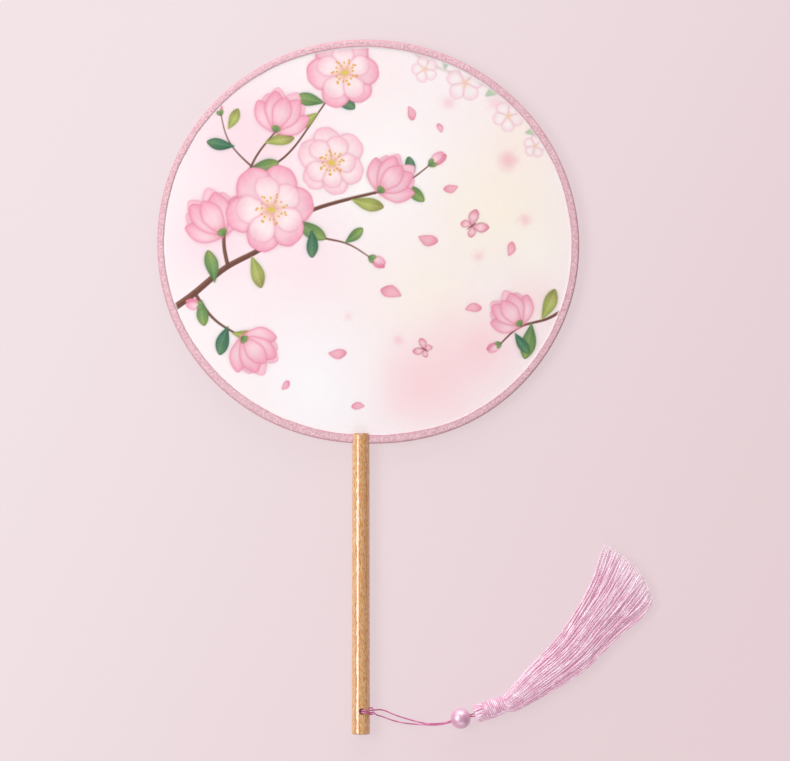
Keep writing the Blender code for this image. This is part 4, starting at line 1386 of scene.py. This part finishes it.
def smooth_cad(node, material):
    """Gives a CAD node that stays its finish, smooth apart from its sharp edges."""
    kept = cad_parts[node]
    kept.data.shade_smooth()
    kept.data.set_sharp_from_angle(angle=SHARP_ANGLE)
    kept.data.materials.clear()
    kept.data.materials.append(material)


# Camera: straight above, framed as the photograph is
FRAME_WIDTH = 0.474
FRAME_X = 0.0161
FRAME_Y = 0.0038
CAMERA_HEIGHT = 2.2
SENSOR_MM = 36

# Floor and light
FLOOR_SIZE = 6.0
FLOOR_COLOUR = (240, 225, 228)
FLOOR_EDGE = (233, 211, 216)
FLOOR_SLANT = 0.5
FLOOR_RAMP = (-0.2, 0.3)
FLOOR_GAP = 0.00005
SHADE_KEPT = 0.2
HANDLE_X = -0.0044
HANDLE_BUTT = -0.2080
HANDLE_TOP = -0.0400
UNDER_HANDLE = (0.0025, 0.0045)
SKY_COLOUR = (1, 0.985, 0.98, 1)
SKY_STRENGTH = 0.22
SKY_IN_GLOSS = 0.2
LAMPS_FACE = (0.02, 0.0, 0.0)
# Lamps: name, place, size, watts, shape
LAMPS = (
    ("key", (-0.9, 0.10, 1.1), (1.0, 0.62), 13.0, "RECTANGLE"),
    ("top", (0.0, 1.5, 0.42), (2.4, 1.3), 27.0, "ELLIPSE"),
    ("low", (0.1, -1.3, 0.75), (1.6, 0.6), 5.0, "RECTANGLE"),
)


def floor_glow(s, place):
    """How much of the floor's look is its own colour, which hides most of the shadow.

    It is seen so only directly, in gloss and through glass. Under the handle it isn't, because a
    bright line would show between the two there.
    """
    rays = s.node("LightPath").outputs
    seen = s.math("MAXIMUM", rays["Is Camera Ray"], rays["Is Glossy Ray"])
    seen = s.math("MAXIMUM", seen, rays["Is Transmission Ray"])
    aside = s.math("ABSOLUTE", s.math("SUBTRACT", place[0], HANDLE_X))
    below = s.math("GREATER_THAN", place[1], HANDLE_BUTT)
    below = s.math("MULTIPLY", below, s.math("LESS_THAN", place[1], HANDLE_TOP))
    under = s.math("MULTIPLY", s.spread(aside, *UNDER_HANDLE, 1.0, 0.0), below)
    seen = s.math("MULTIPLY", seen, s.math("SUBTRACT", 1.0, under))
    return s.math("MULTIPLY", seen, 1 - SHADE_KEPT)


def floor_material():
    """Pale pink, lit mostly by its own colour, and clear from below."""
    s = Shader("floor")
    place = s.node("SeparateXYZ", s.node("TexCoord").outputs["Object"]).outputs
    slant = s.math("SUBTRACT", place[0], s.math("MULTIPLY", place[1], FLOOR_SLANT))
    colour = s.blend(s.spread(slant, *FLOOR_RAMP), paint(FLOOR_COLOUR), paint(FLOOR_EDGE))
    glow = s.node("Emission", colour).outputs[0]
    dull = s.node("BsdfDiffuse", colour).outputs[0]
    lit = s.node("MixShader", floor_glow(s, place), dull, glow).outputs[0]
    clear = s.node("BsdfTransparent").outputs[0]
    behind = s.node("NewGeometry").outputs["Backfacing"]
    made = s.node("MixShader", behind, lit, clear).outputs[0]
    s.tree.links.new(made, s.output.inputs["Surface"])
    return s.material


def make_floor():
    """The pale floor that the fan lies on."""
    half = FLOOR_SIZE / 2
    points = np.array([(-half, -half, 0), (half, -half, 0), (half, half, 0), (-half, half, 0)])
    floor = mesh_object("floor", points - (0, 0, FLOOR_GAP), np.array([(0, 1, 2, 3)]))
    floor.data.materials.append(floor_material())


def make_lamp(name, place, size, power, shape):
    """A soft lamp that faces the fan."""
    lamp = bpy.data.lights.new(name, "AREA")
    lamp.shape = shape
    lamp.size, lamp.size_y = size
    lamp.energy = power
    made = bpy.data.objects.new(name, lamp)
    bpy.context.collection.objects.link(made)
    made.location = place
    aim = Vector(place) - Vector(LAMPS_FACE)
    made.rotation_euler = aim.to_track_quat("Z", "Y").to_euler()


def make_world():
    """Even light from all sides, behind which the camera sees the floor's colour."""
    world = bpy.data.worlds.new("studio")
    world.use_nodes = True
    tree = world.node_tree
    tree.nodes.clear()
    rays = tree.nodes.new("ShaderNodeLightPath")
    lit = tree.nodes.new("ShaderNodeBackground")
    lit.inputs["Color"].default_value = SKY_COLOUR
    seen = tree.nodes.new("ShaderNodeBackground")
    seen.inputs["Color"].default_value = paint(FLOOR_EDGE)
    gloss = tree.nodes.new("ShaderNodeMapRange")
    gloss.inputs["To Min"].default_value = SKY_STRENGTH
    gloss.inputs["To Max"].default_value = SKY_IN_GLOSS
    mix = tree.nodes.new("ShaderNodeMixShader")
    output = tree.nodes.new("ShaderNodeOutputWorld")
    for start, end in (
        (rays.outputs["Is Glossy Ray"], gloss.inputs["Value"]),
        (gloss.outputs[0], lit.inputs["Strength"]),
        (rays.outputs["Is Camera Ray"], mix.inputs[0]),
        (lit.outputs[0], mix.inputs[1]),
        (seen.outputs[0], mix.inputs[2]),
        (mix.outputs[0], output.inputs["Surface"]),
    ):
        tree.links.new(start, end)
    bpy.context.scene.world = world


def make_camera():
    """A long lens straight above the fan."""
    data = bpy.data.cameras.new("camera")
    data.sensor_width = SENSOR_MM
    data.lens = SENSOR_MM * (CAMERA_HEIGHT - MID_HEIGHT) / FRAME_WIDTH
    camera = bpy.data.objects.new("camera", data)
    bpy.context.collection.objects.link(camera)
    camera.location = (FRAME_X, FRAME_Y, CAMERA_HEIGHT)
    bpy.context.scene.camera = camera


def main():
    """Dresses the frame and sets the stage."""
    smooth_cad("handle", wood_material())
    smooth_cad("hoop", bamboo_material())
    make_bead(pearl_material())
    cloth = cloth_material()
    make_face("print_front", 1, FRONT_STEP, cloth)
    make_face("print_back", -1, BACK_STEP, cloth)
    make_binding(tape_material())
    cord = thread_material("cord", CORD_COLOURS, 3.1, 3, 0.55)
    silk = thread_material("silk", SILK_COLOURS, 4.0, 2, 0.36, tip_start=SKIRT_TIPS)
    wrap = thread_material("wrap", WRAP_COLOURS, 4.2, 3, 0.30)
    # The head's threads belong to the skirt's bundle, but take the wrap's colours for their deeper
    # painted shade
    make_head_threads(wrap)
    make_wrap(wrap)
    make_tail(wrap)
    make_skirt(silk)
    make_cords(cord)
    make_floor()
    make_world()
    for lamp in LAMPS:
        make_lamp(*lamp)
    make_camera()
    bpy.context.scene.view_settings.view_transform = "Standard"


main()
